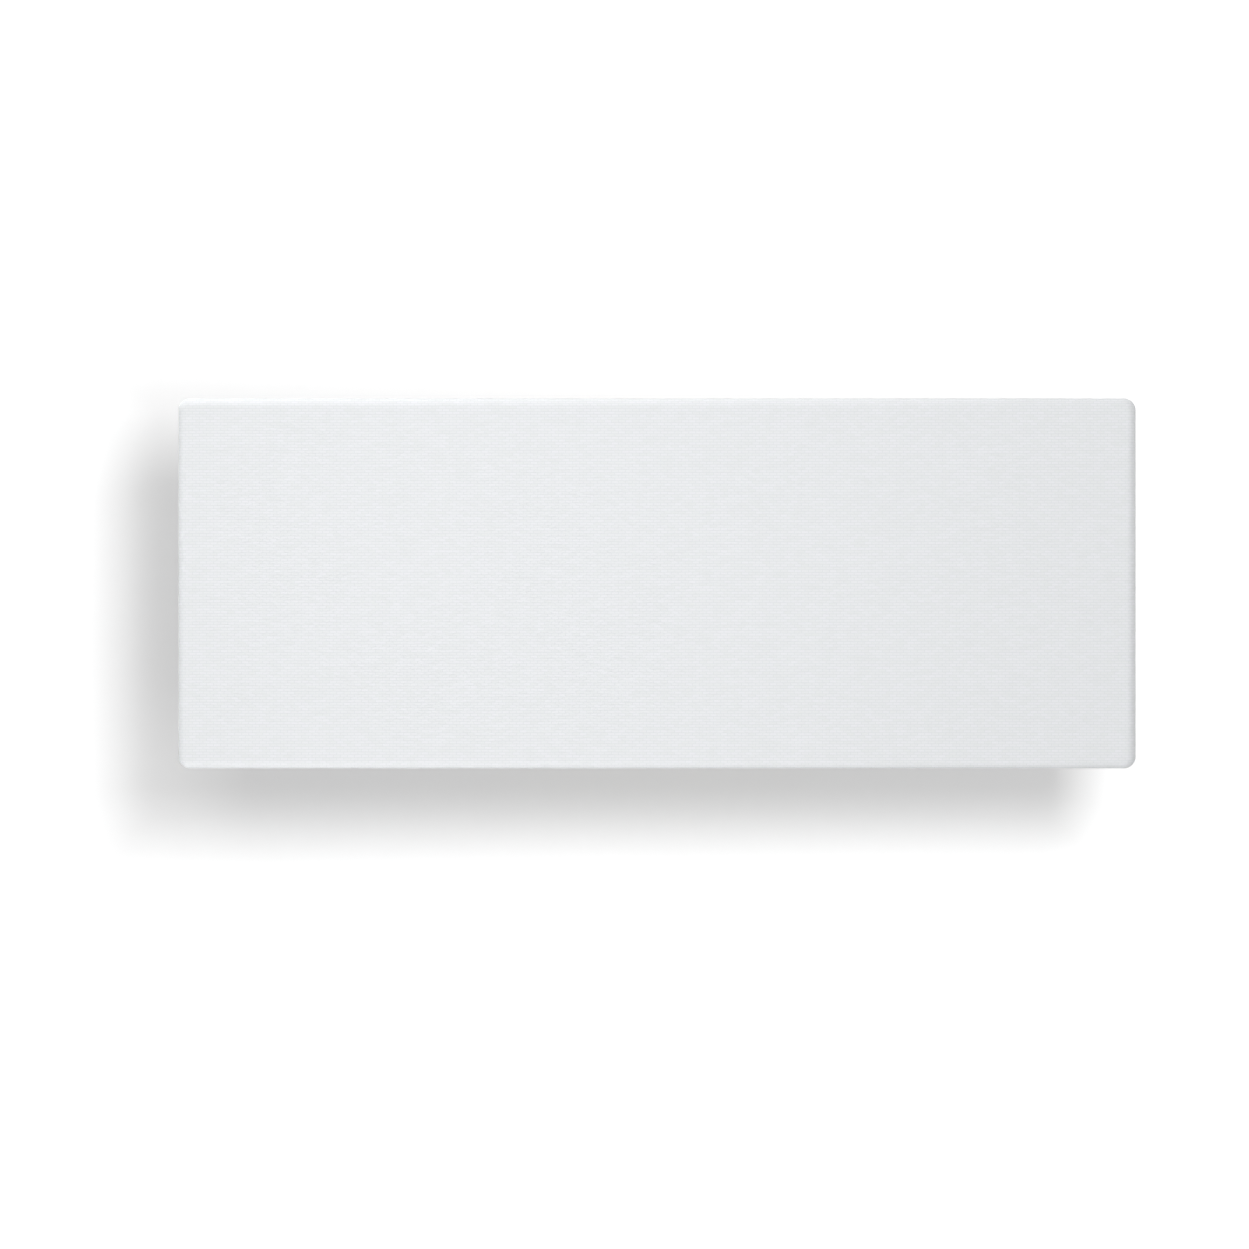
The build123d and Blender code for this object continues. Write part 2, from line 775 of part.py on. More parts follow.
# Faceplate: flange, short horn and the boss that the motor hangs on
def make_faceplate():
    with BuildPart() as faceplate:
        with BuildSketch(half_section(0)):
            with BuildLine():
                mouth = (tweeter_mouth_diameter / 2, tweeter_front)
                throat = (throat_radius, tweeter_boss_rear + tweeter_throat_depth)
                SagittaArc(throat, mouth, tweeter_flare)
                Polyline(mouth, (tweeter_radius, tweeter_front), (tweeter_radius, driver_seat),
                         (tweeter_boss_diameter / 2, driver_seat),
                         (tweeter_boss_diameter / 2, tweeter_boss_rear),
                         (throat_radius, tweeter_boss_rear), throat)
            make_face()
        revolve(axis=axis_at(0))
        driver_holes(tweeter_screw_count, tweeter_bolt_circle, 0,
                     driver_screw_diameter + 2 * hole_clearance, driver_seat, tweeter_front)
    return faceplate.part


# Diaphragm: dome, roll and the lip held under the faceplate, pressed from one cloth
def make_diaphragm():
    with BuildPart() as diaphragm:
        with BuildSketch(half_section(0)):
            cap_band(dome_radius, dome_rise, dome_thickness, dome_base)
            flat_band(dome_radius - dome_thickness, dome_radius + dome_thickness, dome_base, dome_thickness)
            roll_band(dome_radius + dome_roll, dome_base, dome_roll, dome_thickness)
            flat_band(throat_radius - dome_thickness, throat_radius + dome_lip, dome_base, dome_thickness)
        revolve(axis=axis_at(0))
    return diaphragm.part


# Crossover board with its screw holes, post holes and a clear edge
terminal_x = [board_width / 2 - board_post_inset - terminal_spacing * (i + 1) for i in range(2)]
terminal_z = -board_height / 2 + board_post_inset + post_base_diameter


def make_board():
    with BuildPart() as board:
        with BuildSketch(level(board_back)):
            RectangleRounded(board_width, board_height, board_corner_radius)
            with Locations(*board_post_places):
                Circle(board_screw_diameter / 2 + hole_clearance, mode=Mode.SUBTRACT)
            with Locations(*[(x, terminal_z) for x in terminal_x]):
                Circle(post_tail_diameter / 2 + running_clearance, mode=Mode.SUBTRACT)
        extrude(amount=board_thickness)
    return board.part


# Inductor: a ring of winding that stands on the board
def make_inductor(x, z, diameter, bore, height):
    with BuildPart() as inductor:
        with BuildSketch(level(board_back)):
            with Locations((x, z)):
                Circle(diameter / 2)
                Circle(bore / 2, mode=Mode.SUBTRACT)
        extrude(amount=-height)
        fillet(inductor.edges().filter_by(GeomType.CIRCLE), coil_edge_radius)
    return inductor.part


def lead_wire(x, z, length, height):
    """Wire through a lying part, with both ends bent down to the board, in the part that is open."""
    reach = length / 2 + lead_wire_overhang
    with BuildLine() as bent:
        FilletPolyline((x - reach, -board_back, z), (x - reach, -height, z), (x + reach, -height, z),
                       (x + reach, -board_back, z), radius=lead_wire_bend)
    with BuildSketch(Plane(origin=bent.line @ 0, z_dir=bent.line % 0)) as section:
        Circle(lead_wire_diameter / 2)
    sweep(section.sketch, path=bent.line)


# Film capacitors: round, lying, with a wire at each end
def make_capacitors(places):
    axis_height = board_back - capacitor_diameter / 2 - glue_gap
    with BuildPart() as capacitors:
        for x, z in places:
            with BuildSketch(Plane(origin=(x - capacitor_length / 2, -axis_height, z), z_dir=(1, 0, 0))):
                Circle(capacitor_diameter / 2)
            extrude(amount=capacitor_length)
        ends = capacitors.edges().filter_by(GeomType.CIRCLE)
        fillet(ends, capacitor_edge_radius)
        for x, z in places:
            lead_wire(x, z, capacitor_length, axis_height)
    return capacitors.part


# Power resistors: square cement blocks, lying, with a wire at each end
def make_resistors(places):
    with BuildPart() as resistors:
        for x, z in places:
            with BuildSketch(level(board_back)):
                with Locations((x, z)):
                    Rectangle(resistor_length, resistor_width)
            extrude(amount=-resistor_width)
        for x, z in places:
            lead_wire(x, z, resistor_length, board_back - resistor_width / 2)
    return resistors.part


# Binding post: base on the board, tail through it, cross hole for bare wire and a bore for a plug
def make_terminal_post(x):
    tip = board_back - post_length
    with BuildPart() as post:
        with BuildSketch(level(board_back)):
            with Locations((x, terminal_z)):
                Circle(post_base_diameter / 2)
        extrude(amount=-post_base_height)
        with BuildSketch(level(board_back)):
            with Locations((x, terminal_z)):
                Circle(post_diameter / 2)
        extrude(amount=-post_length)
        with BuildSketch(level(board_back)):
            with Locations((x, terminal_z)):
                Circle(post_tail_diameter / 2)
        extrude(amount=board_thickness + post_tail_proud)
        with BuildSketch(level(tip)):
            with Locations((x, terminal_z)):
                Circle(plug_bore_diameter / 2)
        extrude(amount=plug_bore_depth, mode=Mode.SUBTRACT)
        wire_height = board_back - wire_hole_height
        with BuildSketch(Plane(origin=(x, -wire_height, terminal_z), x_dir=(1, 0, 0), z_dir=(0, 0, 1))):
            Circle(wire_hole_diameter / 2)
        extrude(amount=post_diameter, both=True, mode=Mode.SUBTRACT)
    return post.part


# Knob: fluted cap nut that runs on the post's thread
def make_terminal_knob(x):
    rear = board_back - post_length + knob_tip_gap
    with BuildPart() as knob:
        with BuildSketch(level(rear)):
            with Locations((x, terminal_z)):
                Circle(knob_diameter / 2)
        extrude(amount=knob_length)
        chamfer(knob.edges().filter_by(GeomType.CIRCLE), knob_bevel)
        with BuildSketch(level(rear)):
            with Locations((x, terminal_z)):
                Circle(post_diameter / 2 + running_clearance)
                with PolarLocations(knob_diameter / 2, knob_groove_count):
                    Circle(knob_groove_diameter / 2)
        extrude(amount=knob_length, mode=Mode.SUBTRACT)
    return knob.part


def wire_radii(points):
    """Largest tangent arc at each corner that leaves both of its runs partly straight."""
    radii = []
    for before, corner, after in zip(points, points[1:], points[2:]):
        run_in = Vector(corner) - Vector(before)
        run_out = Vector(after) - Vector(corner)
        turn = radians(run_in.get_angle(run_out))
        radii.append(wire_arc_share * min(run_in.length, run_out.length) / tan(turn / 2))
    return radii


def add_wire(points):
    """One insulated wire along a route of (x, z, height) points, in the part that is open."""
    route = [(x, -height, z) for x, z, height in points]
    radii = wire_radii(route)
    print("wire radii", [round(radius, 1) for radius in radii])
    with BuildLine() as path:
        FilletPolyline(*route, radius=radii)
    with BuildSketch(Plane(origin=path.line @ 0, z_dir=path.line % 0)) as section:
        Circle(wire_diameter / 2)
    sweep(section.sketch, path=path.line)


# Wires of one polarity: from the board to both bass drivers and to the tweeter
def make_leads(side):
    z = side * tag_width / 4
    tag_x = woofer_x - ledge_radius - basket_wall - tag_length + ledge_width + lug_width
    tag_back = ledge_back - tag_thickness
    start_x = board_width / 2 - board_post_inset / 2
    run = wire_run_share * (tag_x - start_x)
    loop_back = board_back - wire_loop_depth
    tweeter_z = -(tweeter_ferrite_diameter + tweeter_boss_diameter) / 4
    bow_z = tweeter_z - tweeter_wire_bow
    landing_z = (tweeter_z + bow_z) / 2
    with BuildPart() as leads:
        for end in (-1, 1):
            add_wire([
                (end * start_x, z, board_back),
                (end * start_x, z, board_back - wire_exit),
                (end * (start_x + run), z, loop_back),
                (end * (tag_x - run), z, loop_back + wire_slope),
                (end * tag_x, z, tag_back - wire_loop_depth),
                (end * tag_x, z, tag_back),
            ])
        add_wire([
            (z, tweeter_z, tweeter_boss_rear),
            (z, tweeter_z, tweeter_boss_rear - wire_exit),
            (z, bow_z, tweeter_boss_rear - 2 * wire_exit),
            (z, landing_z, board_front + wire_exit),
            (z, landing_z, board_front),
        ])
    return leads.part


os.makedirs("parts", exist_ok=True)

save(make_cover_fabric(), "cover_fabric")
save(make_cover_frame(), "cover_frame")
save(discs(magnet_places, magnet_diameter, magnet_rear, magnet_rear + magnet_thickness), "cover_magnets")
save(make_baffle(), "baffle")
save(discs(magnet_places, keeper_diameter, flange_thickness, keeper_front), "keeper_plates")

for number, (x, z, stow, out) in enumerate(clamps, start=1):
    save(make_clamp_screw(x, z), f"clamp_screw_{number}")
    save(make_clamp_dog(x, z, stow), f"clamp_dog_{number}")

for side, name in ((-1, "left"), (1, "right")):
    x = side * woofer_x
    trim_inner = woofer_flange_bore + trim_ring_setback
    trim_outer = woofer_flange_bore + surround_lip
    lip_front = woofer_front + surround_thickness
    save(make_basket(x), f"woofer_basket_{name}")
    save(make_cone(x), f"woofer_cone_{name}")
    save(make_dust_cap(x), f"woofer_dust_cap_{name}")
    save(make_surround(x), f"woofer_surround_{name}")
    save(ring(x, trim_outer, trim_inner, lip_front, lip_front + trim_ring_height),
         f"woofer_trim_ring_{name}")
    save(make_spider(x), f"woofer_spider_{name}")
    save(ring(x, coil_outer, coil_radius, coil_front - coil_length, coil_front), f"woofer_voice_coil_{name}")
    save(ring(x, top_plate_diameter / 2, coil_outer + coil_gap, plate_rear, basket_bottom),
         f"woofer_top_plate_{name}")
    save(ring(x, ferrite_diameter / 2, ferrite_bore / 2, ferrite_rear, plate_rear), f"woofer_magnet_{name}")
    save(make_yoke(x, coil_radius - coil_gap, top_plate_diameter / 2, yoke_rear, ferrite_rear,
                   basket_bottom, vent_diameter / 2), f"woofer_yoke_{name}")
    save(make_tag_strip(x, side), f"woofer_tag_strip_{name}")

woofer_screw_places = bolt_places(-woofer_x, woofer_screw_count, woofer_bolt_circle)
woofer_screw_places += bolt_places(woofer_x, woofer_screw_count, woofer_bolt_circle)
save(screw_group(woofer_screw_places, woofer_front, 1, driver_screw_diameter, driver_screw_length,
                 driver_head_diameter, driver_head_height), "woofer_screws")

save(make_faceplate(), "tweeter_faceplate")
save(make_diaphragm(), "tweeter_diaphragm")
save(ring(0, dome_coil_outer, dome_coil_inner, dome_base - dome_coil_length, dome_base),
     "tweeter_voice_coil")
save(ring(0, tweeter_plate_diameter / 2, dome_coil_outer + coil_gap, tweeter_plate_rear, dome_base),
     "tweeter_top_plate")
save(ring(0, tweeter_ferrite_diameter / 2, tweeter_ferrite_bore / 2, tweeter_ferrite_rear,
          tweeter_plate_rear), "tweeter_magnet")
save(make_yoke(0, dome_coil_inner - coil_gap, tweeter_plate_diameter / 2, tweeter_yoke_rear,
               tweeter_ferrite_rear, dome_base, tweeter_vent_diameter / 2), "tweeter_yoke")
save(screw_group(bolt_places(0, tweeter_screw_count, tweeter_bolt_circle), tweeter_front, 1,
                 driver_screw_diameter, driver_screw_length, driver_head_diameter, driver_head_height),
     "tweeter_screws")

save(make_board(), "crossover_board")
save(screw_group(board_post_places, board_back, -1, board_screw_diameter, board_screw_length,
                 board_head_diameter, board_head_height), "board_screws")
component_x = board_width / 4 + component_shift
coil_row = post_z - big_coil_diameter / 2
save(make_inductor(-component_x, coil_row, big_coil_diameter, big_coil_bore, big_coil_height),
     "woofer_inductor")
save(make_inductor(component_x, coil_row, small_coil_diameter, small_coil_bore, small_coil_height),
     "tweeter_inductor")
capacitor_row = post_z - capacitor_diameter / 2
capacitor_places = [(component_shift, capacitor_row - i * capacitor_row_pitch) for i in range(3)]
save(make_capacitors(capacitor_places), "film_capacitors")
resistor_places = [(-component_x, -resistor_pitch * (i + 1)) for i in range(2)]
save(make_resistors(resistor_places), "power_resistors")

for x, colour in zip(terminal_x, ("red", "black")):
    save(make_terminal_post(x), f"terminal_post_{colour}")
    save(make_terminal_knob(x), f"terminal_knob_{colour}")

save(make_leads(1), "leads_positive")
save(make_leads(-1), "leads_negative")
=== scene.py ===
# %% [markdown]
# # In-wall loudspeaker under a white cloth cover
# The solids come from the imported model, in metres and already in place. This lesson dresses them:
# it weaves and wraps the cover's cloth, gives every solid a finish, adds what is too fine for solids,
# and lights the whole as a product picture on a white wall. The room is towards -Y, and the flange of
# the speaker lies on the plane y = 0.

# %% Load the solids
import json
from math import asin, cos, hypot, pi, radians, sin

import bmesh
import bpy
from mathutils import Matrix, Vector, noise
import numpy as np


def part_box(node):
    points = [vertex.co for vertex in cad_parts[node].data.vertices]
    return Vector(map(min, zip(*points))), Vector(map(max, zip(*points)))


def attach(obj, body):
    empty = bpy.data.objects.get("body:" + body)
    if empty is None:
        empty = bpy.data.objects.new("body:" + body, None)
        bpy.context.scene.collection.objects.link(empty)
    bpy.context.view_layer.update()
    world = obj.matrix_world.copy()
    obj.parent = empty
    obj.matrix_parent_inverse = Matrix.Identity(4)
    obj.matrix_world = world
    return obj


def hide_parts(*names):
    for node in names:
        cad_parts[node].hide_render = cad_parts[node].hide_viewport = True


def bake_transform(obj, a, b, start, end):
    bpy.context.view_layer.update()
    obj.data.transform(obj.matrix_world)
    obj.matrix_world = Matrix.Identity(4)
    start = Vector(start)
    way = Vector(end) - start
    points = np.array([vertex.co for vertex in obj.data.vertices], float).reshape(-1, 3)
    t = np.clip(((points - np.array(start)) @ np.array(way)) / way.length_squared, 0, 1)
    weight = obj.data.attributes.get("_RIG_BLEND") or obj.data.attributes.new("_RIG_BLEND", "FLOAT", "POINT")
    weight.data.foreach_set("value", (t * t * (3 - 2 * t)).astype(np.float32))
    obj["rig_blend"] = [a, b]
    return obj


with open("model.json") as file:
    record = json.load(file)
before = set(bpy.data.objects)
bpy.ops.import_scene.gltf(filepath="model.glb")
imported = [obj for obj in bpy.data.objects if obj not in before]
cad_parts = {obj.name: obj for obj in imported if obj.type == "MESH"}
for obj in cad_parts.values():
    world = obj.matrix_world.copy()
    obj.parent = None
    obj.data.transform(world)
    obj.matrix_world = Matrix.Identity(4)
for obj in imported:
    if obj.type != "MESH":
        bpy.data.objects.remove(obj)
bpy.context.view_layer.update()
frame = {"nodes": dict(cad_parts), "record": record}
nodes = frame["nodes"]
MM = 0.001

# %% [markdown]
# ## Colours, nodes and a first finish
# A colour is picked on screen, so it is written as sRGB hex, but shaders count in linear light: one
# function turns the first into the second. Shader trees are long to build by hand, so one small function
# adds a node, sets it up and links it. Every finish is kept under the record's slot name.

# %% Colour and node helpers
finishes = {}


def linear(code):
    """An sRGB hex colour as linear RGBA."""
    parts = [int(code[i:i + 2], 16) / 255 for i in (1, 3, 5)]
    return [p / 12.92 if p <= 0.04045 else ((p + 0.055) / 1.055) ** 2.4 for p in parts] + [1.0]


def add_node(tree, kind, inputs=None, **settings):
    """Add one node with its settings. An input is a value, or the output that feeds it."""
    node = tree.nodes.new(kind)
    for name, value in settings.items():
        setattr(node, name, value)
    for name, value in (inputs or {}).items():
        if isinstance(value, bpy.types.NodeSocket):
            tree.links.new(value, node.inputs[name])
        else:
            node.inputs[name].default_value = value
    return node


def start_finish(slot, name, colour, roughness, metallic=0.0):
    """A new material with its plain values set. Gives its node tree and its main shader."""
    material = bpy.data.materials.new(name)
    material.use_nodes = True
    finishes[slot] = material
    shader = material.node_tree.nodes["Principled BSDF"]
    shader.inputs["Base Color"].default_value = linear(colour)
    shader.inputs["Roughness"].default_value = roughness
    shader.inputs["Metallic"].default_value = metallic
    print("finish:", slot, "is", name)
    return material.node_tree, shader


# %% [markdown]
# ## Woven polyester
# The cover's cloth is a plain weave with a stout thread across and a finer one up and down, so it looks
# ribbed from side to side. The ribs are real folds of the mesh, made further on. What one thread does
# between two crossings is too small for a mesh. A brick pattern on the cloth's own flat map stands in
# for it, because in a plain weave the floats lie like bricks. Its gaps are painted a little greyer, as
# painted shade between the floats, and sheen gives the soft edge of fibres.

# %% Woven polyester
RIB_PITCH = 1.73 * MM
FLOAT_LENGTH = 4.4 * MM
THREAD_GAP = 0.3 * MM
THREAD_RISE = 0.05 * MM
BRICK_UNIT = 10 * MM

# fibres scatter the light, so the cloth is matt and nearly white from every side
tree, shader = start_finish("white_cloth", "woven polyester", "#E6E7EA", 0.85)
flat_map = add_node(tree, "ShaderNodeUVMap", uv_map="flat_cloth").outputs["UV"]
# painted shade: the brick's gaps, the low places of the bump, take the greyer Mortar colour
weave = add_node(tree, "ShaderNodeTexBrick", {
    "Vector": flat_map, "Scale": 1 / BRICK_UNIT, "Brick Width": FLOAT_LENGTH / BRICK_UNIT,
    "Row Height": RIB_PITCH / BRICK_UNIT, "Mortar Size": THREAD_GAP / BRICK_UNIT, "Mortar Smooth": 1.0,
    "Color1": linear("#E6E7EA"), "Color2": linear("#E2E4E5"), "Mortar": linear("#D9DCDE"),
}, offset=0.5, offset_frequency=2, squash=1.0)
relief = add_node(tree, "ShaderNodeBump", {
    "Height": weave.outputs["Fac"], "Distance": THREAD_RISE}, invert=True)
tree.links.new(weave.outputs["Color"], shader.inputs["Base Color"])
tree.links.new(relief.outputs["Normal"], shader.inputs["Normal"])
shader.inputs["Sheen Weight"].default_value = 0.1
print("weave: rib", RIB_PITCH / MM, "mm, float", FLOAT_LENGTH / MM, "mm")

# %% [markdown]
# ## Moulded plastics
# Frame, baffle, dogs and knobs come out of steel moulds. A sparked mould leaves a fine even grain that
# breaks up highlights, a polished one leaves nearly none. The plastic also flows into the mould, which
# leaves broad, faint changes of gloss. Both are noise on Object coordinates, sized in millimetres. The
# grain of a real mould is near 0.1 mm and wouldn't show, so it is drawn a few times coarser.

# %% Moulded plastics
FLOW_SIZE = 35 * MM
FLOW_GLOSS = 0.08
SMOOTH_SKIN = 0.3
DULLING = 0.4


def moulded_plastic(slot, name, colour, roughness, grain, depth):
    """Plastic with the grain of its mould. A grained skin hides part of its own highlight."""
    tree, shader = start_finish(slot, name, colour, roughness)
    dulled = DULLING * max(0.0, roughness - SMOOTH_SKIN)
    shader.inputs["Specular IOR Level"].default_value = 0.5 - dulled
    place = add_node(tree, "ShaderNodeTexCoord").outputs["Object"]
    grit = add_node(tree, "ShaderNodeTexNoise", {"Vector": place, "Scale": 1 / grain, "Detail": 3.0})
    bump = add_node(tree, "ShaderNodeBump", {"Height": grit.outputs["Fac"], "Distance": depth})
    flow = add_node(tree, "ShaderNodeTexNoise", {"Vector": place, "Scale": 1 / FLOW_SIZE})
    gloss = add_node(tree, "ShaderNodeMapRange", {
        "Value": flow.outputs["Fac"], "To Min": roughness - FLOW_GLOSS, "To Max": roughness + FLOW_GLOSS})
    tree.links.new(bump.outputs["Normal"], shader.inputs["Normal"])
    tree.links.new(gloss.outputs["Result"], shader.inputs["Roughness"])


# sparked moulds: an even grain and a broad, soft highlight
moulded_plastic("white_plastic", "moulded white ABS", "#E6E6E4", 0.50, 0.6 * MM, 0.02 * MM)
moulded_plastic("black_plastic", "moulded black ABS", "#1C1D1F", 0.58, 0.7 * MM, 0.05 * MM)
# glass fibres come up to the skin and make it greyer and duller
moulded_plastic("nylon", "glass-filled nylon", "#3E3F42", 0.60, 0.9 * MM, 0.04 * MM)
# polished moulds: small, sharp highlights on a deep colour
moulded_plastic("red_plastic", "polished red acrylic", "#A6161B", 0.16, 2.0 * MM, 0.01 * MM)
moulded_plastic("knob_black", "polished black acrylic", "#1B1B1E", 0.16, 2.0 * MM, 0.01 * MM)
# insulation leaves its die smooth, with a satin shine along the wire
moulded_plastic("wire_red", "red PVC insulation", "#B3202A", 0.38, 1.2 * MM, 0.01 * MM)
moulded_plastic("wire_black", "black PVC insulation", "#222225", 0.38, 1.2 * MM, 0.01 * MM)

# %% [markdown]
# ## Plated and coated metals
# Stamped and turned steel is zinc plated. Magnets of the cover have bright nickel, posts have gold,
# screws a black oxide. All are one recipe: full metal, a roughness, and cloudy patches in both tone and
# gloss. The driver baskets are cast aluminium under a powder coat, which is paint, not metal, with the
# shallow ripple called orange peel.

# %% Plated metals
CLOUD_GLOSS = (-0.10, 0.12)


def plated_metal(slot, name, colour, cloud_colour, roughness, cloud):
    """Full metal with cloudy patches of another tone and gloss."""
    tree, shader = start_finish(slot, name, colour, roughness, metallic=1.0)
    place = add_node(tree, "ShaderNodeTexCoord").outputs["Object"]
    patches = add_node(tree, "ShaderNodeTexNoise", {"Vector": place, "Scale": 1 / cloud, "Detail": 4.0})
    tone = add_node(tree, "ShaderNodeMix", {
        "Factor": patches.outputs["Fac"], 6: linear(colour), 7: linear(cloud_colour)}, data_type="RGBA")
    gloss = add_node(tree, "ShaderNodeMapRange", {
        "Value": patches.outputs["Fac"],
        "To Min": roughness + CLOUD_GLOSS[0], "To Max": roughness + CLOUD_GLOSS[1]})
    tree.links.new(tone.outputs[2], shader.inputs["Base Color"])
    tree.links.new(gloss.outputs["Result"], shader.inputs["Roughness"])


# zinc: grey and blurred, with faint darker clouds
plated_metal("zinc_steel", "zinc-plated steel", "#B3B7B9", "#9CA1A4", 0.42, 7 * MM)
# nickel and gold: bright, with clear reflections
plated_metal("nickel", "bright nickel plate", "#D8D4CC", "#B9B5AC", 0.22, 5 * MM)
plated_metal("gold_plate", "gold plate", "#E6C46F", "#C99F47", 0.22, 4 * MM)
# black oxide: dark, but its edges still shine like metal
plated_metal("black_steel", "black-oxide steel", "#4A4A4E", "#303034", 0.40, 3 * MM)
# tin: a soft silver
plated_metal("tinned_wire", "tinned copper wire", "#D0D0CE", "#A8A8A4", 0.34, 2 * MM)

# %% Powder-coated castings
PEEL_SIZE = 1.1 * MM
PEEL_DEPTH = 0.06 * MM

# the ripple breaks highlights into small soft beads
tree, shader = start_finish("cast_basket", "powder-coated aluminium casting", "#2C2D31", 0.42)
place = add_node(tree, "ShaderNodeTexCoord").outputs["Object"]
peel = add_node(tree, "ShaderNodeTexNoise", {"Vector": place, "Scale": 1 / PEEL_SIZE, "Detail": 1.0})
ripple = add_node(tree, "ShaderNodeBump", {"Height": peel.outputs["Fac"], "Distance": PEEL_DEPTH})
tree.links.new(ripple.outputs["Normal"], shader.inputs["Normal"])

# %% [markdown]
# ## Ferrite, cement and phenolic board
# The ring magnets are sintered ferrite: a dark grey ceramic, ground flat, with a fine sparkle of grains
# and faint pits. The resistors are cast in white cement, which is grainy and pitted too. One recipe
# serves both. Tag strips are brown phenolic paper, with fibres that run one way. Real grains and fibres
# are finer than a tenth of a millimetre: they are drawn as coarse as they need to be to show.

# %% Ferrite and cement
PIT_WIDTH_IN_GRAINS = 2.0


def gritty_ceramic(slot, name, colour, speck_colour, roughness, grain, depth):
    """A ceramic with specks of another tone and wider, shallow pits."""
    tree, shader = start_finish(slot, name, colour, roughness)
    place = add_node(tree, "ShaderNodeTexCoord").outputs["Object"]
    cells = add_node(tree, "ShaderNodeTexVoronoi", {"Vector": place, "Scale": 1 / grain})
    pits = add_node(tree, "ShaderNodeTexNoise", {
        "Vector": place, "Scale": 1 / (PIT_WIDTH_IN_GRAINS * grain), "Detail": 5.0})
    tone = add_node(tree, "ShaderNodeMix", {
        "Factor": cells.outputs["Distance"],
        6: linear(colour), 7: linear(speck_colour)}, data_type="RGBA")
    bump = add_node(tree, "ShaderNodeBump", {"Height": pits.outputs["Fac"], "Distance": depth})
    tree.links.new(tone.outputs[2], shader.inputs["Base Color"])
    tree.links.new(bump.outputs["Normal"], shader.inputs["Normal"])


# ground ferrite: a dark, flat shine with a sparkle
gritty_ceramic("ferrite", "ground ferrite", "#3F4044", "#5A5B60", 0.48, 0.8 * MM, 0.05 * MM)
# cement: chalky, with no shine
gritty_ceramic("cement", "cast cement", "#E9E6DD", "#D3CFC4", 0.80, 0.7 * MM, 0.10 * MM)

# %% Phenolic paper
FIBRE_WIDTH = 0.5 * MM
FIBRE_STRETCH = (0.08, 1.0, 1.0)

# resin soaks the paper: brown streaks under a satin skin
tree, shader = start_finish("phenolic", "phenolic paper board", "#7A4C2A", 0.45)
place = add_node(tree, "ShaderNodeTexCoord").outputs["Object"]
along = add_node(tree, "ShaderNodeMapping", {"Vector": place, "Scale": FIBRE_STRETCH})
fibres = add_node(tree, "ShaderNodeTexNoise", {
    "Vector": along.outputs["Vector"], "Scale": 1 / FIBRE_WIDTH})
tone = add_node(tree, "ShaderNodeMix", {
    "Factor": fibres.outputs["Fac"], 6: linear("#8A5833"), 7: linear("#643B1E")}, data_type="RGBA")
tree.links.new(tone.outputs[2], shader.inputs["Base Color"])

# %% [markdown]
# ## Cone fibre, rubber, silk and spider cloth
# The cone is pressed from black paper pulp, so short fibres lie in every direction and catch the light.
# The surround is soft rubber with a dusty, matt skin. The dome is coated silk and the spider is cotton
# stiffened with amber resin: both are weaves, drawn with two crossing waves on Object coordinates, with
# the gaps between threads painted darker as painted shade.

# %% Paper pulp and rubber
SKIN_SPECULAR = 0.25


def pressed_skin(slot, name, colour, fleck_colour, roughness, fleck, depth):
    """A dull skin with flecks of another tone that stand up a little."""
    tree, shader = start_finish(slot, name, colour, roughness)
    shader.inputs["Specular IOR Level"].default_value = SKIN_SPECULAR
    place = add_node(tree, "ShaderNodeTexCoord").outputs["Object"]
    pulp = add_node(tree, "ShaderNodeTexNoise", {
        "Vector": place, "Scale": 1 / fleck, "Detail": 6.0, "Roughness": 0.65, "Distortion": 1.5})
    tone = add_node(tree, "ShaderNodeMix", {
        "Factor": pulp.outputs["Fac"], 6: linear(colour), 7: linear(fleck_colour)}, data_type="RGBA")
    bump = add_node(tree, "ShaderNodeBump", {"Height": pulp.outputs["Fac"], "Distance": depth})
    tree.links.new(tone.outputs[2], shader.inputs["Base Color"])
    tree.links.new(bump.outputs["Normal"], shader.inputs["Normal"])


# pulp: matt black with paler flecks
pressed_skin("cone_fibre", "pressed paper pulp", "#1B1B1E", "#4C4C52", 0.72, 2.4 * MM, 0.20 * MM)
# rubber: deep black, with a soft line of light along the roll
pressed_skin("surround_rubber", "nitrile rubber", "#101012", "#18181B", 0.48, 6.0 * MM, 0.03 * MM)

# %% Threaded cloths inside the drivers
# the length after which a wave texture with a scale of 1 repeats
WAVE_UNIT = pi / 10


def fine_cloth(slot, name, colour, painted_gap_shade, roughness, thread, depth):
    """A plain weave of threads along X and Z. One wave is a thread and a gap, painted darker as shade."""
    tree, shader = start_finish(slot, name, colour, roughness)
    place = add_node(tree, "ShaderNodeTexCoord").outputs["Object"]
    threads = [
        add_node(tree, "ShaderNodeTexWave", {"Vector": place, "Scale": WAVE_UNIT / (2 * thread)},
                 bands_direction=way, wave_profile="SIN").outputs["Fac"]
        for way in ("X", "Z")
    ]
    crossing = add_node(tree, "ShaderNodeMath", {0: threads[0], 1: threads[1]}, operation="MULTIPLY")
    # painted shade: the colour goes to the darker gap colour wherever the threads dip away from a crossing
    tone = add_node(tree, "ShaderNodeMix", {
        "Factor": crossing.outputs[0], 6: linear(painted_gap_shade), 7: linear(colour)}, data_type="RGBA")
    bump = add_node(tree, "ShaderNodeBump", {"Height": crossing.outputs[0], "Distance": depth})
    tree.links.new(tone.outputs[2], shader.inputs["Base Color"])
    tree.links.new(bump.outputs["Normal"], shader.inputs["Normal"])


# silk under its coat: black, with a low shine
fine_cloth("silk", "coated silk", "#26262A", "#161619", 0.36, 0.25 * MM, 0.02 * MM)
# cotton in resin: amber and matt
fine_cloth("spider_cloth", "resin-stiffened cotton", "#CFA055", "#A9772F", 0.75, 0.35 * MM, 0.06 * MM)

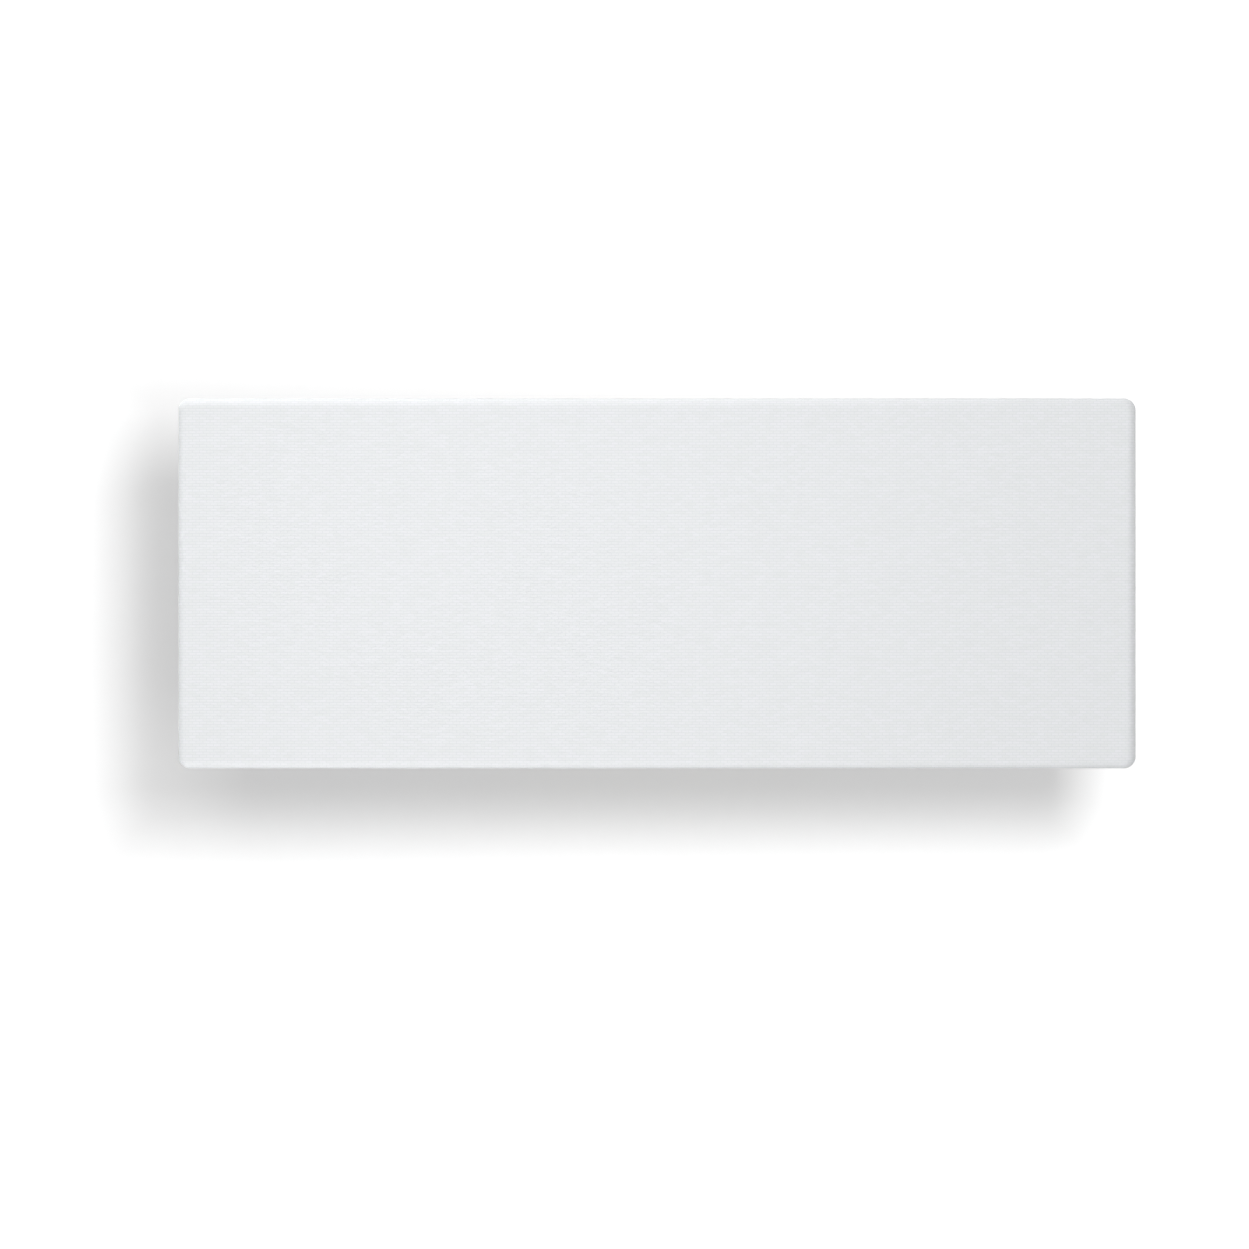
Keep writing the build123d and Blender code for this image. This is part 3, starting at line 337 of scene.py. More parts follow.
# %% [markdown]
# ## Copper wire, circuit board and capacitor film
# Windings are bare-looking copper under a clear enamel: a metal with a coat. The board is glass cloth
# under green solder mask, so the weave of the glass shows faintly through a glossy skin. The capacitors
# are wound in yellow film, with lines where the film overlaps.

# %% Enamelled copper
TARNISH_SIZE = 6 * MM

# the enamel's own highlight lies over the warm shine of the metal
tree, shader = start_finish("copper", "enamelled copper wire", "#B5683A", 0.30, metallic=1.0)
shader.inputs["Coat Weight"].default_value = 0.6
place = add_node(tree, "ShaderNodeTexCoord").outputs["Object"]
tarnish = add_node(tree, "ShaderNodeTexNoise", {"Vector": place, "Scale": 1 / TARNISH_SIZE, "Detail": 3.0})
tone = add_node(tree, "ShaderNodeMix", {
    "Factor": tarnish.outputs["Fac"], 6: linear("#C67A48"), 7: linear("#9A5229")}, data_type="RGBA")
tree.links.new(tone.outputs[2], shader.inputs["Base Color"])

# %% Solder mask over glass cloth
GLASS_THREAD = 0.7 * MM
ETCH_SIZE = 4 * MM

# a glossy green skin, with the squares of the glass cloth just visible in it
tree, shader = start_finish("board_green", "solder mask on glass cloth", "#1C5B36", 0.30)
place = add_node(tree, "ShaderNodeTexCoord").outputs["Object"]
glass = add_node(tree, "ShaderNodeTexChecker", {
    "Vector": place, "Scale": 1 / GLASS_THREAD,
    "Color1": linear("#1F6139"), "Color2": linear("#1A5532")})
tree.links.new(glass.outputs["Color"], shader.inputs["Base Color"])
# copper under the same mask: a lighter, yellower green
tree, shader = start_finish("copper_track", "solder mask on copper", "#2E7A47", 0.26)
place = add_node(tree, "ShaderNodeTexCoord").outputs["Object"]
etch = add_node(tree, "ShaderNodeTexNoise", {"Vector": place, "Scale": 1 / ETCH_SIZE})
tone = add_node(tree, "ShaderNodeMix", {
    "Factor": etch.outputs["Fac"], 6: linear("#2B7443"), 7: linear("#37864F")}, data_type="RGBA")
tree.links.new(tone.outputs[2], shader.inputs["Base Color"])

# %% Wound polyester film
LAP_PITCH = 10.86 * MM
POUR_SIZE = 3 * MM
POUR_DEPTH = 0.2 * MM

# film is wound tight: a clear shine on yellow, with a step of tone at each lap
tree, shader = start_finish("capacitor_film", "wound polyester film", "#D8A322", 0.22)
place = add_node(tree, "ShaderNodeTexCoord").outputs["Object"]
laps = add_node(tree, "ShaderNodeTexWave", {
    "Vector": place, "Scale": WAVE_UNIT / LAP_PITCH, "Distortion": 0.4},
    bands_direction="X", wave_profile="SAW")
tone = add_node(tree, "ShaderNodeMix", {
    "Factor": laps.outputs["Fac"], 6: linear("#DDAA28"), 7: linear("#CC9519")}, data_type="RGBA")
tree.links.new(tone.outputs[2], shader.inputs["Base Color"])
# resin is poured over the ends and sets in soft swells
tree, shader = start_finish("potting_resin", "epoxy potting", "#B98A3A", 0.35)
place = add_node(tree, "ShaderNodeTexCoord").outputs["Object"]
pour = add_node(tree, "ShaderNodeTexNoise", {"Vector": place, "Scale": 1 / POUR_SIZE})
swell = add_node(tree, "ShaderNodeBump", {"Height": pour.outputs["Fac"], "Distance": POUR_DEPTH})
tree.links.new(swell.outputs["Normal"], shader.inputs["Normal"])
print("finishes:", len(finishes))

# %% [markdown]
# ## Finishes on the solids
# Each solid takes the finish that the record names. A few solids are two materials on the real part,
# such as a capacitor and its wires: those get a second slot, and the faces beyond a plane use it.

# %% Finishes on the solids
for row in frame["record"]["subparts"]:
    mesh = nodes[row["node"]].data
    mesh.materials.clear()
    mesh.materials.append(finishes[row["material_slot"]])


def paint_faces(node, finish, chosen):
    """Give the faces of a solid that the test picks another finish."""
    mesh = nodes[node].data
    mesh.materials.append(finishes[finish])
    index = len(mesh.materials) - 1
    picked = [face for face in mesh.polygons if chosen(face)]
    for face in picked:
        face.material_index = index
    print(node, "faces in", finish, len(picked))


# %% Bare wires and lugs
SIDES = ("left", "right")
WIRE_OVERHANG = 4.6 * MM
END_SLACK = 0.05 * MM
END_FACING = 0.9
STRIP_THICKNESS = 1.6 * MM
LUG_RISE = 0.3 * MM

for node in ("film_capacitors", "power_resistors"):
    low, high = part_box(node)
    paint_faces(node, "tinned_wire", lambda face: (
        min(face.center.x - low.x, high.x - face.center.x) < WIRE_OVERHANG - END_SLACK))
paint_faces("film_capacitors", "potting_resin", lambda face: (
    abs(face.normal.x) > END_FACING and face.material_index == 0))
for side in SIDES:
    low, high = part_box(f"woofer_tag_strip_{side}")
    paint_faces(f"woofer_tag_strip_{side}", "tinned_wire",
                lambda face: face.center.y < high.y - STRIP_THICKNESS - LUG_RISE)

# %% [markdown]
# ## From a bmesh to a piece
# New shapes start in a bmesh, Blender's editing mesh for scripts. One function closes it up, marks its
# sharp edges, makes an object of it and sends it along with a body of the frame. Profiles are drawn like
# with a pen: a vertex is extruded to draw a line and spun to draw an arc, and a spin about the driver's
# axis turns the profile into a round piece.

# %% Piece helper
SHARP_ANGLE = radians(38)
SEAM = 0.001 * MM


def make_piece(bm, name, slot, body=None, stands_for=()):
    """Turn a bmesh into an object that rides on a body and stands for solids of the frame."""
    bmesh.ops.remove_doubles(bm, verts=bm.verts, dist=SEAM)
    bmesh.ops.recalc_face_normals(bm, faces=bm.faces)
    for face in bm.faces:
        face.smooth = True
    for edge in bm.edges:
        edge.smooth = not (edge.is_manifold and edge.calc_face_angle() > SHARP_ANGLE)
    mesh = bpy.data.meshes.new(name)
    bm.to_mesh(mesh)
    bm.free()
    mesh.materials.append(finishes[slot])
    piece = bpy.data.objects.new(name, mesh)
    bpy.context.scene.collection.objects.link(piece)
    if body:
        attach(piece, body)
    if stands_for:
        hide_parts(*stands_for)
    print(name, "faces:", len(mesh.polygons))
    return piece


# %% Pen helpers
def verts_of(geom):
    """The vertices among what an operator made."""
    return [item for item in geom if isinstance(item, bmesh.types.BMVert)]


def pen_line(bm, pen, x, y):
    """Draw a straight run in the plane z = 0 and give its end."""
    pen = bmesh.ops.extrude_vert_indiv(bm, verts=[pen])["verts"][0]
    pen.co = (x, y, 0)
    return pen


def pen_arc(bm, pen, centre, angle, steps):
    """Draw an arc round a centre in the plane z = 0 and give its end."""
    drawn = bmesh.ops.spin(bm, geom=[pen], cent=(*centre, 0), axis=(0, 0, 1), angle=angle, steps=steps)
    return verts_of(drawn["geom_last"])[0]


def pen_bow(bm, pen, x, y, rise, steps):
    """Draw a shallow arc to a point: a positive rise bows towards the room."""
    start = Vector((pen.co.x, pen.co.y))
    chord = Vector((x, y)) - start
    radius = ((chord.length / 2) ** 2 + rise ** 2) / (2 * abs(rise))
    towards = Vector((chord.y, -chord.x)).normalized() * (1 if rise > 0 else -1)
    centre = start + chord / 2 - towards * (radius - abs(rise))
    angle = 2 * asin(min(1.0, chord.length / (2 * radius)))
    return pen_arc(bm, pen, centre, angle if rise > 0 else -angle, steps)


def turn_about(bm, x, z, steps):
    """Spin everything drawn so far once round an axis square to the wall."""
    bmesh.ops.translate(bm, verts=bm.verts, vec=(0, 0, z))
    bmesh.ops.spin(bm, geom=bm.verts[:] + bm.edges[:], cent=(x, 0, z), axis=(0, 1, 0),
                   angle=2 * pi, steps=steps, use_merge=True)


# %% [markdown]
# ## The cloth, cut flat and wrapped
# A cover maker cuts the cloth flat, lays the frame on it and folds the margin over the rim. A box with
# rounded edges would look alike from afar, but its weave would run straight through every fold. So the
# mesh is made as the maker does it: a flat grid of the cut's size, whose every point is then laid round
# the frame. A fold rule walks from the front over the rounded edge, down the side, round the rim and up
# inside it. At the corners the cloth fans round a small radius. As the grid is the flat cloth, its flat
# map is the cut itself, and the weave follows every fold. Ribs are rows of the grid, three to a rib,
# sunk between threads and left to wander a little, as threads do.

# %% Fold rule of the cover's margin
cover_low, cover_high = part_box("cover_fabric")
CORNER_RADIUS = 7.5 * MM
EDGE_RADIUS = 6.0 * MM
RIM_RADIUS = 1.2 * MM
RIM_WIDTH = 5.7 * MM
HEM_HEIGHT = 12.0 * MM
CLOTH_THICKNESS = 1.0 * MM
cover_depth = cover_high.y - cover_low.y
QUARTER = pi / 2
# each run of the margin: its length, the angle it turns by, and the grid columns that it gets
FOLDS = [
    (CORNER_RADIUS - EDGE_RADIUS, 0, 1),
    (EDGE_RADIUS * QUARTER, QUARTER, 6),
    (cover_depth - EDGE_RADIUS - RIM_RADIUS, 0, 14),
    (RIM_RADIUS * QUARTER, QUARTER, 2),
    (RIM_WIDTH - 2 * RIM_RADIUS, 0, 2),
    (RIM_RADIUS * QUARTER, QUARTER, 2),
    (HEM_HEIGHT - RIM_RADIUS, 0, 5),
]
margin = sum(length for length, turn, steps in FOLDS)
core = Vector((cover_high.x - CORNER_RADIUS, cover_high.z - CORNER_RADIUS))
flat_half = core + Vector((margin, margin))
print("cloth cut in mm:", [round(2 * x / MM) for x in flat_half])


def fold(distance):
    """Walk a distance along the margin: how far out, how deep, and the angle it has turned by."""
    out, deep, heading = 0.0, 0.0, 0.0
    for length, turn, steps in FOLDS:
        step = min(distance, length)
        if turn:
            radius = length / turn
            swept = heading + step / radius
            out += radius * (sin(swept) - sin(heading))
            deep += radius * (cos(heading) - cos(swept))
            heading = swept
        else:
            out += step * cos(heading)
            deep += step * sin(heading)
        distance -= step
        if distance <= 0:
            break
    return out, deep, heading


# %% Flat grid of the cloth
ROWS_PER_RIB = 3
FRONT_COLUMNS = 16

stations = [core.x * (2 * i / FRONT_COLUMNS - 1) for i in range(FRONT_COLUMNS + 1)]
for length, turn, steps in FOLDS:
    reach = stations[-1]
    added = [reach + length * (i + 1) / steps for i in range(steps)]
    stations = [-x for x in reversed(added)] + stations + added
columns = len(stations) - 1
rows = ROWS_PER_RIB * round(2 * flat_half.y / RIB_PITCH)
bm = bmesh.new()
bmesh.ops.create_grid(bm, x_segments=columns, y_segments=rows, size=0.5)
for vert in bm.verts:
    vert.co = (stations[round((vert.co.x + 0.5) * columns)], vert.co.y * 2 * flat_half.y, 0)


def beyond_core(point):
    """The nearest point of the cover's flat middle, and the way from there."""
    near = Vector((max(-core.x, min(core.x, point.x)), max(-core.y, min(core.y, point.y))))
    return near, Vector((point.x, point.y)) - near


cut_off = [face for face in bm.faces if all(beyond_core(v.co)[1].length > margin for v in face.verts)]
bmesh.ops.delete(bm, geom=cut_off, context="FACES")
flat_layer = bm.loops.layers.uv.new("flat_cloth")
for face in bm.faces:
    for loop in face.loops:
        loop[flat_layer].uv = loop.vert.co.xy
print("grid:", columns, "by", rows, "cut off at the corners:", len(cut_off))

# %% Wrap the cloth round the frame
RIB_DEPTH = 0.12 * MM
WANDER = 0.25 * MM
WANDER_LENGTH = 80 * MM

for vert in bm.verts:
    flat = Vector((vert.co.x, vert.co.y))
    sunk = RIB_DEPTH * (0.5 + 0.5 * cos(2 * pi * flat.y / RIB_PITCH))
    flat.y += WANDER * noise.noise(Vector((flat.x, 2 * flat.y, 0)) / WANDER_LENGTH)
    near, away = beyond_core(flat)
    out, deep, heading = fold(min(away.length, margin))
    away = away.normalized()
    facing = Vector((away.x * sin(heading), -cos(heading), away.y * sin(heading)))
    vert.co = Vector((near.x + away.x * out, cover_low.y + deep, near.y + away.y * out)) - facing * sunk
cover_cloth = make_piece(bm, "cover_cloth", "white_cloth", "cover", ["cover_fabric"])
thickness = cover_cloth.modifiers.new("thickness", "SOLIDIFY")
thickness.thickness = CLOTH_THICKNESS
thickness.offset = -1.0

# %% [markdown]
# ## Surrounds and spiders that flex
# A cone hangs on two springs: the rubber roll at its rim and the pressed spider at its neck. Both stay
# with the basket at their outer edge and follow the cone at their inner one. Rigid rings would tear away
# when the cone moves, so they are spun from profiles and given a blend between the two bodies. A blend
# runs along a line. Its weights are then set anew by radius, which makes every direction bend alike.

# %% Flexing rings
RING_STEPS = 120


def flexing_ring(bm, name, slot, side, inner, outer, centre_x, wall):
    """Make a ring of a spun profile that follows the cone inside and the basket outside."""
    piece = make_piece(bm, f"{name}_{side}", slot, stands_for=[f"woofer_{name.split('_')[0]}_{side}"])
    skin = piece.modifiers.new("thickness", "SOLIDIFY")
    skin.thickness = wall
    skin.offset = -1.0
    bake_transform(piece, "mounting_frame", f"woofer_{side}_moving",
             start=(centre_x + outer, 0, 0), end=(centre_x + inner, 0, 0))
    weights = piece.data.attributes["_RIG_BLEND"].data
    for vert, weight in zip(piece.data.vertices, weights):
        share = (outer - hypot(vert.co.x - centre_x, vert.co.z)) / (outer - inner)
        share = max(0.0, min(1.0, share))
        weight.value = share * share * (3 - 2 * share)
    return piece


# %% Surround
SURROUND_THICKNESS = 0.8 * MM
ROLL_STEPS = 16


def hang_surround(side):
    """A half roll of rubber between two flat lips."""
    low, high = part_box(f"woofer_surround_{side}")
    centre_x = (low.x + high.x) / 2
    outer = (high.x - low.x) / 2
    cone_low, cone_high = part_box(f"woofer_cone_{side}")
    rim = (cone_high.x - cone_low.x) / 2
    roll = high.y - low.y
    lip = outer - rim - 2 * roll
    lip_y = high.y - SURROUND_THICKNESS
    start_angle = asin(SURROUND_THICKNESS / roll)
    bm = bmesh.new()
    pen = bm.verts.new((centre_x + rim - lip, lip_y, 0))
    pen = pen_line(bm, pen, centre_x + rim + roll * (1 - cos(start_angle)), lip_y)
    pen = pen_arc(bm, pen, (centre_x + rim + roll, high.y), pi - 2 * start_angle, ROLL_STEPS)
    pen_line(bm, pen, centre_x + outer, lip_y)
    turn_about(bm, centre_x, 0, RING_STEPS)
    flexing_ring(bm, "surround_roll", "surround_rubber", side, rim, rim + 2 * roll, centre_x,
                 SURROUND_THICKNESS)


# %% Spider
SPIDER_THICKNESS = 0.8 * MM
SPIDER_WAVES = 4
SPIDER_RIM = 5 * MM
SPIDER_COLLAR = 2.4 * MM
COIL_GAP = 0.05 * MM
BOW_STEPS = 5


def hang_spider(side):
    """Rings of waves between a flat rim and a flat collar on the coil."""
    low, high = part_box(f"woofer_spider_{side}")
    coil_low, coil_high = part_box(f"woofer_voice_coil_{side}")
    centre_x = (low.x + high.x) / 2
    outer = (high.x - low.x) / 2
    inner = (coil_high.x - coil_low.x) / 2 + COIL_GAP
    swing = (high.y - low.y - SPIDER_THICKNESS) / 2
    face_y = (low.y + high.y - SPIDER_THICKNESS) / 2
    flat_outer = outer - SPIDER_RIM
    flat_inner = inner + SPIDER_COLLAR
    wave = (flat_outer - flat_inner) / (2 * SPIDER_WAVES)
    bm = bmesh.new()
    pen = bm.verts.new((centre_x + inner, face_y, 0))
    pen = pen_line(bm, pen, centre_x + flat_inner, face_y)
    for i in range(2 * SPIDER_WAVES):
        pen = pen_bow(bm, pen, pen.co.x + wave, face_y, swing * (-1) ** i, BOW_STEPS)
    pen_line(bm, pen, centre_x + outer, face_y)
    turn_about(bm, centre_x, 0, RING_STEPS)
    flexing_ring(bm, "spider_waves", "spider_cloth", side, flat_inner, flat_outer, centre_x,
                 SPIDER_THICKNESS)


# %% Hang both cones
for side in SIDES:
    hang_surround(side)
    hang_spider(side)

# %% [markdown]
# ## Screws with cross recesses
# A screw's head could be a plain disc, but the cross is what tells the eye that it is a screw. A picture
# of a cross would stay flat in a low light, so it is cut in. The head's top is a disc that planes cut
# into a grid, and the cells that lie in the cross are pushed down. The rim is then extruded outwards and
# down to make the head, and inwards to make the shank. One screw is made at the origin and copied to its
# places.

# %% Screw maker
HEAD_SIDES = 24
TIP_SHARE = 0.5
FOUR_WAYS = [Vector((1, 0, 0)), Vector((-1, 0, 0)), Vector((0, 1, 0)), Vector((0, -1, 0))]


def push_rim(bm, rim, scale, drop):
    """Extrude an edge loop, scale it about the screw's axis and let it down."""
    made = bmesh.ops.extrude_edge_only(bm, edges=rim)["geom"]
    verts = verts_of(made)
    bmesh.ops.scale(bm, verts=verts, vec=(scale, scale, 1))
    bmesh.ops.translate(bm, verts=verts, vec=(0, 0, -drop))
    return [item for item in made if isinstance(item, bmesh.types.BMEdge)
            and item.verts[0] in verts and item.verts[1] in verts]


def cross_screw(head_radius, head_height, bevel, cross, shank_radius, shank_length):
    """A screw that stands on the origin with its head up. The cross is (length, width, depth)."""
    bm = bmesh.new()
    bmesh.ops.create_circle(bm, cap_ends=True, segments=HEAD_SIDES, radius=head_radius - bevel)
    bmesh.ops.translate(bm, verts=bm.verts, vec=(0, 0, head_height))
    length, width, depth = cross
    for across in (length / 2, width / 2):
        for way in FOUR_WAYS:
            bmesh.ops.bisect_plane(bm, geom=bm.verts[:] + bm.edges[:] + bm.faces[:],
                                   plane_co=way * across, plane_no=way)
    arms = []
    for face in bm.faces:
        middle = face.calc_center_median()
        near, far = sorted((abs(middle.x), abs(middle.y)))
        if near < width / 2 and far < length / 2:
            arms.append(face)
    sunk = bmesh.ops.extrude_face_region(bm, geom=arms)["geom"]
    bmesh.ops.delete(bm, geom=arms, context="FACES")
    bmesh.ops.translate(bm, verts=verts_of(sunk), vec=(0, 0, -depth))
    rim = [edge for edge in bm.edges if edge.is_boundary]
    rim = push_rim(bm, rim, head_radius / (head_radius - bevel), bevel)
    rim = push_rim(bm, rim, 1.0, head_height - bevel)
    rim = push_rim(bm, rim, shank_radius / head_radius, 0)
    if shank_length:
        rim = push_rim(bm, rim, 1.0, shank_length)
        rim = push_rim(bm, rim, TIP_SHARE, shank_radius)
    bmesh.ops.holes_fill(bm, edges=rim)
    return bm


def copy_to(bm, places, seat_y, toward_room):
    """Stand the screw on a seat and copy it to each place along the wall."""
    turn = Matrix.Rotation(QUARTER if toward_room else -QUARTER, 4, "X")
    bmesh.ops.transform(bm, matrix=turn, verts=bm.verts)
    first = bm.verts[:] + bm.edges[:] + bm.faces[:]
    for x, z in places[1:]:
        copied = bmesh.ops.duplicate(bm, geom=first)["geom"]
        bmesh.ops.translate(bm, verts=verts_of(copied), vec=(x, seat_y, z))
    x, z = places[0]
    bmesh.ops.translate(bm, verts=verts_of(first), vec=(x, seat_y, z))


# %% Driver and board screws
# heads: radius, height and bevel. Crosses: length, width and depth. Shanks: radius and length
DRIVER_HEAD = (3.0 * MM, 2.2 * MM, 0.7 * MM)
DRIVER_CROSS = (3.2 * MM, 0.8 * MM, 1.1 * MM)
DRIVER_SHANK = (1.75 * MM, 10.2 * MM)
BOARD_HEAD = (2.8 * MM, 2.0 * MM, 0.7 * MM)
BOARD_CROSS = (3.0 * MM, 0.8 * MM, 1.0 * MM)
BOARD_SHANK = (1.5 * MM, 7.4 * MM)


def four_places(centre_x, reach_x, reach_z):
    """The corners of a rectangle that lies flat along the wall."""
    return [(centre_x + sx * reach_x, sz * reach_z) for sx in (-1, 1) for sz in (-1, 1)]


def bolt_circle(node, centre_x):
    """Four places on a driver's bolt circle, from the box of its group of screws."""
    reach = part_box(node)[1].z - DRIVER_HEAD[0]
    return four_places(centre_x, reach, reach)


driver_places = {"tweeter_screws": bolt_circle("tweeter_screws", 0), "woofer_screws": []}
for side in SIDES:
    low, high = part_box(f"woofer_basket_{side}")
    driver_places["woofer_screws"] += bolt_circle("woofer_screws", (low.x + high.x) / 2)
for node, places in driver_places.items():
    bm = cross_screw(*DRIVER_HEAD, DRIVER_CROSS, *DRIVER_SHANK)
    copy_to(bm, places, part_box(node)[0].y + DRIVER_HEAD[1], toward_room=True)
    make_piece(bm, f"{node}_crossed", "black_steel", "mounting_frame", [node])
low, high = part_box("board_screws")
board_places = four_places(0, high.x - BOARD_HEAD[0], high.z - BOARD_HEAD[0])
bm = cross_screw(*BOARD_HEAD, BOARD_CROSS, *BOARD_SHANK)
copy_to(bm, board_places, high.y - BOARD_HEAD[1], toward_room=False)
make_piece(bm, "board_screws_crossed", "zinc_steel", "mounting_frame", ["board_screws"])

# %% [markdown]
# ## Clamp screws with their thread
# The six long screws draw the dogs up behind the wall board, so their coarse thread shows from behind.
# Bump could draw it, but not on the outline against the light. A thread is one tooth, spun many times
# while it climbs: Blender's spin takes a step along the axis.

# %% Clamp screws
CLAMP_HEAD = (4.0 * MM, 2.6 * MM, 0.85 * MM)
CLAMP_CROSS = (4.8 * MM, 1.2 * MM, 1.4 * MM)
THREAD_PITCH = 1.6 * MM
THREAD_CREST = 2.0 * MM
THREAD_CORE = 1.55 * MM
THREAD_STEPS = 16
THREAD_SEAM = 0.005 * MM
# one tooth: the radius at each share of the pitch
TOOTH = ((THREAD_CREST, 0.35), (THREAD_CREST, 0.5), (THREAD_CORE, 0.85), (THREAD_CORE, 1.0))

for number in range(1, 7):
    low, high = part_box(f"clamp_screw_{number}")
    x, z = (low.x + high.x) / 2, (low.z + high.z) / 2
    seat_y = low.y + CLAMP_HEAD[1]
    bm = cross_screw(*CLAMP_HEAD, CLAMP_CROSS, THREAD_CORE, 0)
    copy_to(bm, [(x, z)], seat_y, toward_room=True)
    head = set(bm.verts)
    turns = int((high.y - seat_y) / THREAD_PITCH) - 1
    pen = bm.verts.new((x + THREAD_CORE, seat_y, z))
    for radius, share in TOOTH:
        pen = bmesh.ops.extrude_vert_indiv(bm, verts=[pen])["verts"][0]
        pen.co = (x + radius, seat_y + share * THREAD_PITCH, z)
    tooth = [item for item in bm.verts[:] if item not in head]
    tooth += [edge for edge in bm.edges if edge.verts[0] not in head]
    bmesh.ops.spin(bm, geom=tooth, cent=(x, 0, z), axis=(0, 1, 0),
                   dvec=(0, THREAD_PITCH / THREAD_STEPS, 0),
                   angle=2 * pi * turns, steps=turns * THREAD_STEPS)
    bmesh.ops.remove_doubles(bm, verts=bm.verts, dist=THREAD_SEAM)
    bmesh.ops.holes_fill(bm, edges=[edge for edge in bm.edges if edge.is_boundary])
    make_piece(bm, f"clamp_screw_threaded_{number}", "zinc_steel",
               f"clamp_{number}_screw", [f"clamp_screw_{number}"])

# %% [markdown]
# ## Wound coils
# The crossover's inductors are air coils of stout copper wire. Their turns could be bump, but they are
# big enough to see, so the profile of the coil is drawn as a row of half rounds along each side, one for
# each turn, and spun.

# %% Wound coils
WIRE = 1.35 * MM
WIRE_STEPS = 4
WINDING_STEPS = 72
WINDING_SEAM = 0.01 * MM
# each coil's bore
COILS = {"woofer_inductor": 18.0 * MM, "tweeter_inductor": 12.0 * MM}

for node, bore in COILS.items():
    low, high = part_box(node)
    middle = (low + high) / 2
    outer = (high.x - low.x) / 2
    turns = round((high.y - low.y) / WIRE)
    layers = round((outer - bore / 2) / WIRE)
    along = (high.y - low.y - WIRE) / turns
    across = (outer - bore / 2 - WIRE) / layers
    sides = [((0, along), turns), ((-across, 0), layers), ((0, -along), turns), ((across, 0), layers)]
    bm = bmesh.new()
    pen = bm.verts.new((middle.x + outer - WIRE / 2, low.y + WIRE / 2, 0))
    for step, count in sides:
        for i in range(count):
            centre = (pen.co.x + step[0] / 2, pen.co.y + step[1] / 2)
            pen = pen_arc(bm, pen, centre, pi, WIRE_STEPS)
    bmesh.ops.remove_doubles(bm, verts=bm.verts, dist=WINDING_SEAM)
    turn_about(bm, middle.x, middle.z, WINDING_STEPS)
    make_piece(bm, f"{node}_turns", "copper", "mounting_frame", [node])

# %% [markdown]
# ## Tracks and solder on the board
# Broad copper tracks join the parts and show as lighter green ridges under the mask. They could be drawn
# into the board's colour, but a raised edge catches the light. Each is a strip that grows from its first
# edge, with mitred bends, and is then raised. Tracks that meet are raised by slightly different steps,
# because two faces in the same plane render as black patches. Every wire that meets the board stands
# in a small cone of solder.

# %% Routes of the tracks
TRACK_WIDTH = 4.0 * MM
TRACK_HEIGHT = 0.06 * MM
TRACK_STEP = 0.005 * MM
# routes in mm on the board, along X and Z, from part to part
TRACKS = [
    [(76.5, -4.5), (66, -4.5), (62, -18), (62, -43), (-62, -43), (-73, -32), (-73, -18), (-76.5, -4.5)],
    [(25, -30), (25, -42)],
    [(49, -30), (49, -6), (25, -6)],
    [(25, 36), (25, 15), (34, 15)],
    [(54, 15), (66, 15), (66, 4.5), (76.5, 4.5)],
    [(-68, -32), (-68, -16)],
    [(-20, -32), (-20, -16), (-17, -6)],
    [(-17, 36), (-17, 15), (-26, 15)],
    [(-62, 12), (-66, 4.5), (-76.5, 4.5)],
]


def mitre(route, i):
    """The sideways step from the middle of a track to its edge, square to the run or along the bend."""
    here = Vector(route[i])
    ways = [(here - Vector(route[i - 1])).normalized()] if i else []
    ways += [(Vector(route[i + 1]) - here).normalized()] if i + 1 < len(route) else []
    along = sum(ways, Vector((0, 0))).normalized()
    return Vector((-along.y, along.x)) * TRACK_WIDTH / 2 / along.dot(ways[0])


print("tracks:", len(TRACKS))

# %% Tracks
board_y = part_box("crossover_board")[1].y
bm = bmesh.new()
for number, route in enumerate(TRACKS):
    rails = []
    for i, point in enumerate(route):
        middle, side_step = Vector(point) * MM, mitre(route, i)
        rails.append([(p.x, board_y, p.y) for p in (middle - side_step, middle + side_step)])
    ends = [bm.verts.new(place) for place in rails[0]]
    edge = bm.edges.new(ends)
    strip = []
    for pair in rails[1:]:
        made = bmesh.ops.extrude_edge_only(bm, edges=[edge])["geom"]
        strip += [item for item in made if isinstance(item, bmesh.types.BMFace)]
        edge = next(item for item in made if isinstance(item, bmesh.types.BMEdge)
                    and not any(vert in ends for vert in item.verts))
        for vert in edge.verts:
            old = min(range(2), key=lambda k: (vert.co - ends[k].co).length)
            vert.co = pair[old]
        ends = sorted(edge.verts, key=lambda vert: (vert.co - Vector(pair[0])).length)
    raised = bmesh.ops.extrude_face_region(bm, geom=strip)["geom"]
    bmesh.ops.translate(bm, verts=verts_of(raised), vec=(0, TRACK_HEIGHT + number * TRACK_STEP, 0))
make_piece(bm, "board_tracks", "copper_track", "mounting_frame")

# %% Solder cones
SOLDER_RADIUS = 1.9 * MM
SOLDER_TIP = 0.6 * MM
SOLDER_RISE = 1.4 * MM
SOLDER_SIDES = 16
WIRE_RADIUS = 0.6 * MM
LEAD_END = (76.5 * MM, 4.5 * MM)
# the rows of parts on the board, in mm along Z
PART_ROWS = {"film_capacitors": (36, 15, -6), "power_resistors": (-16, -32)}

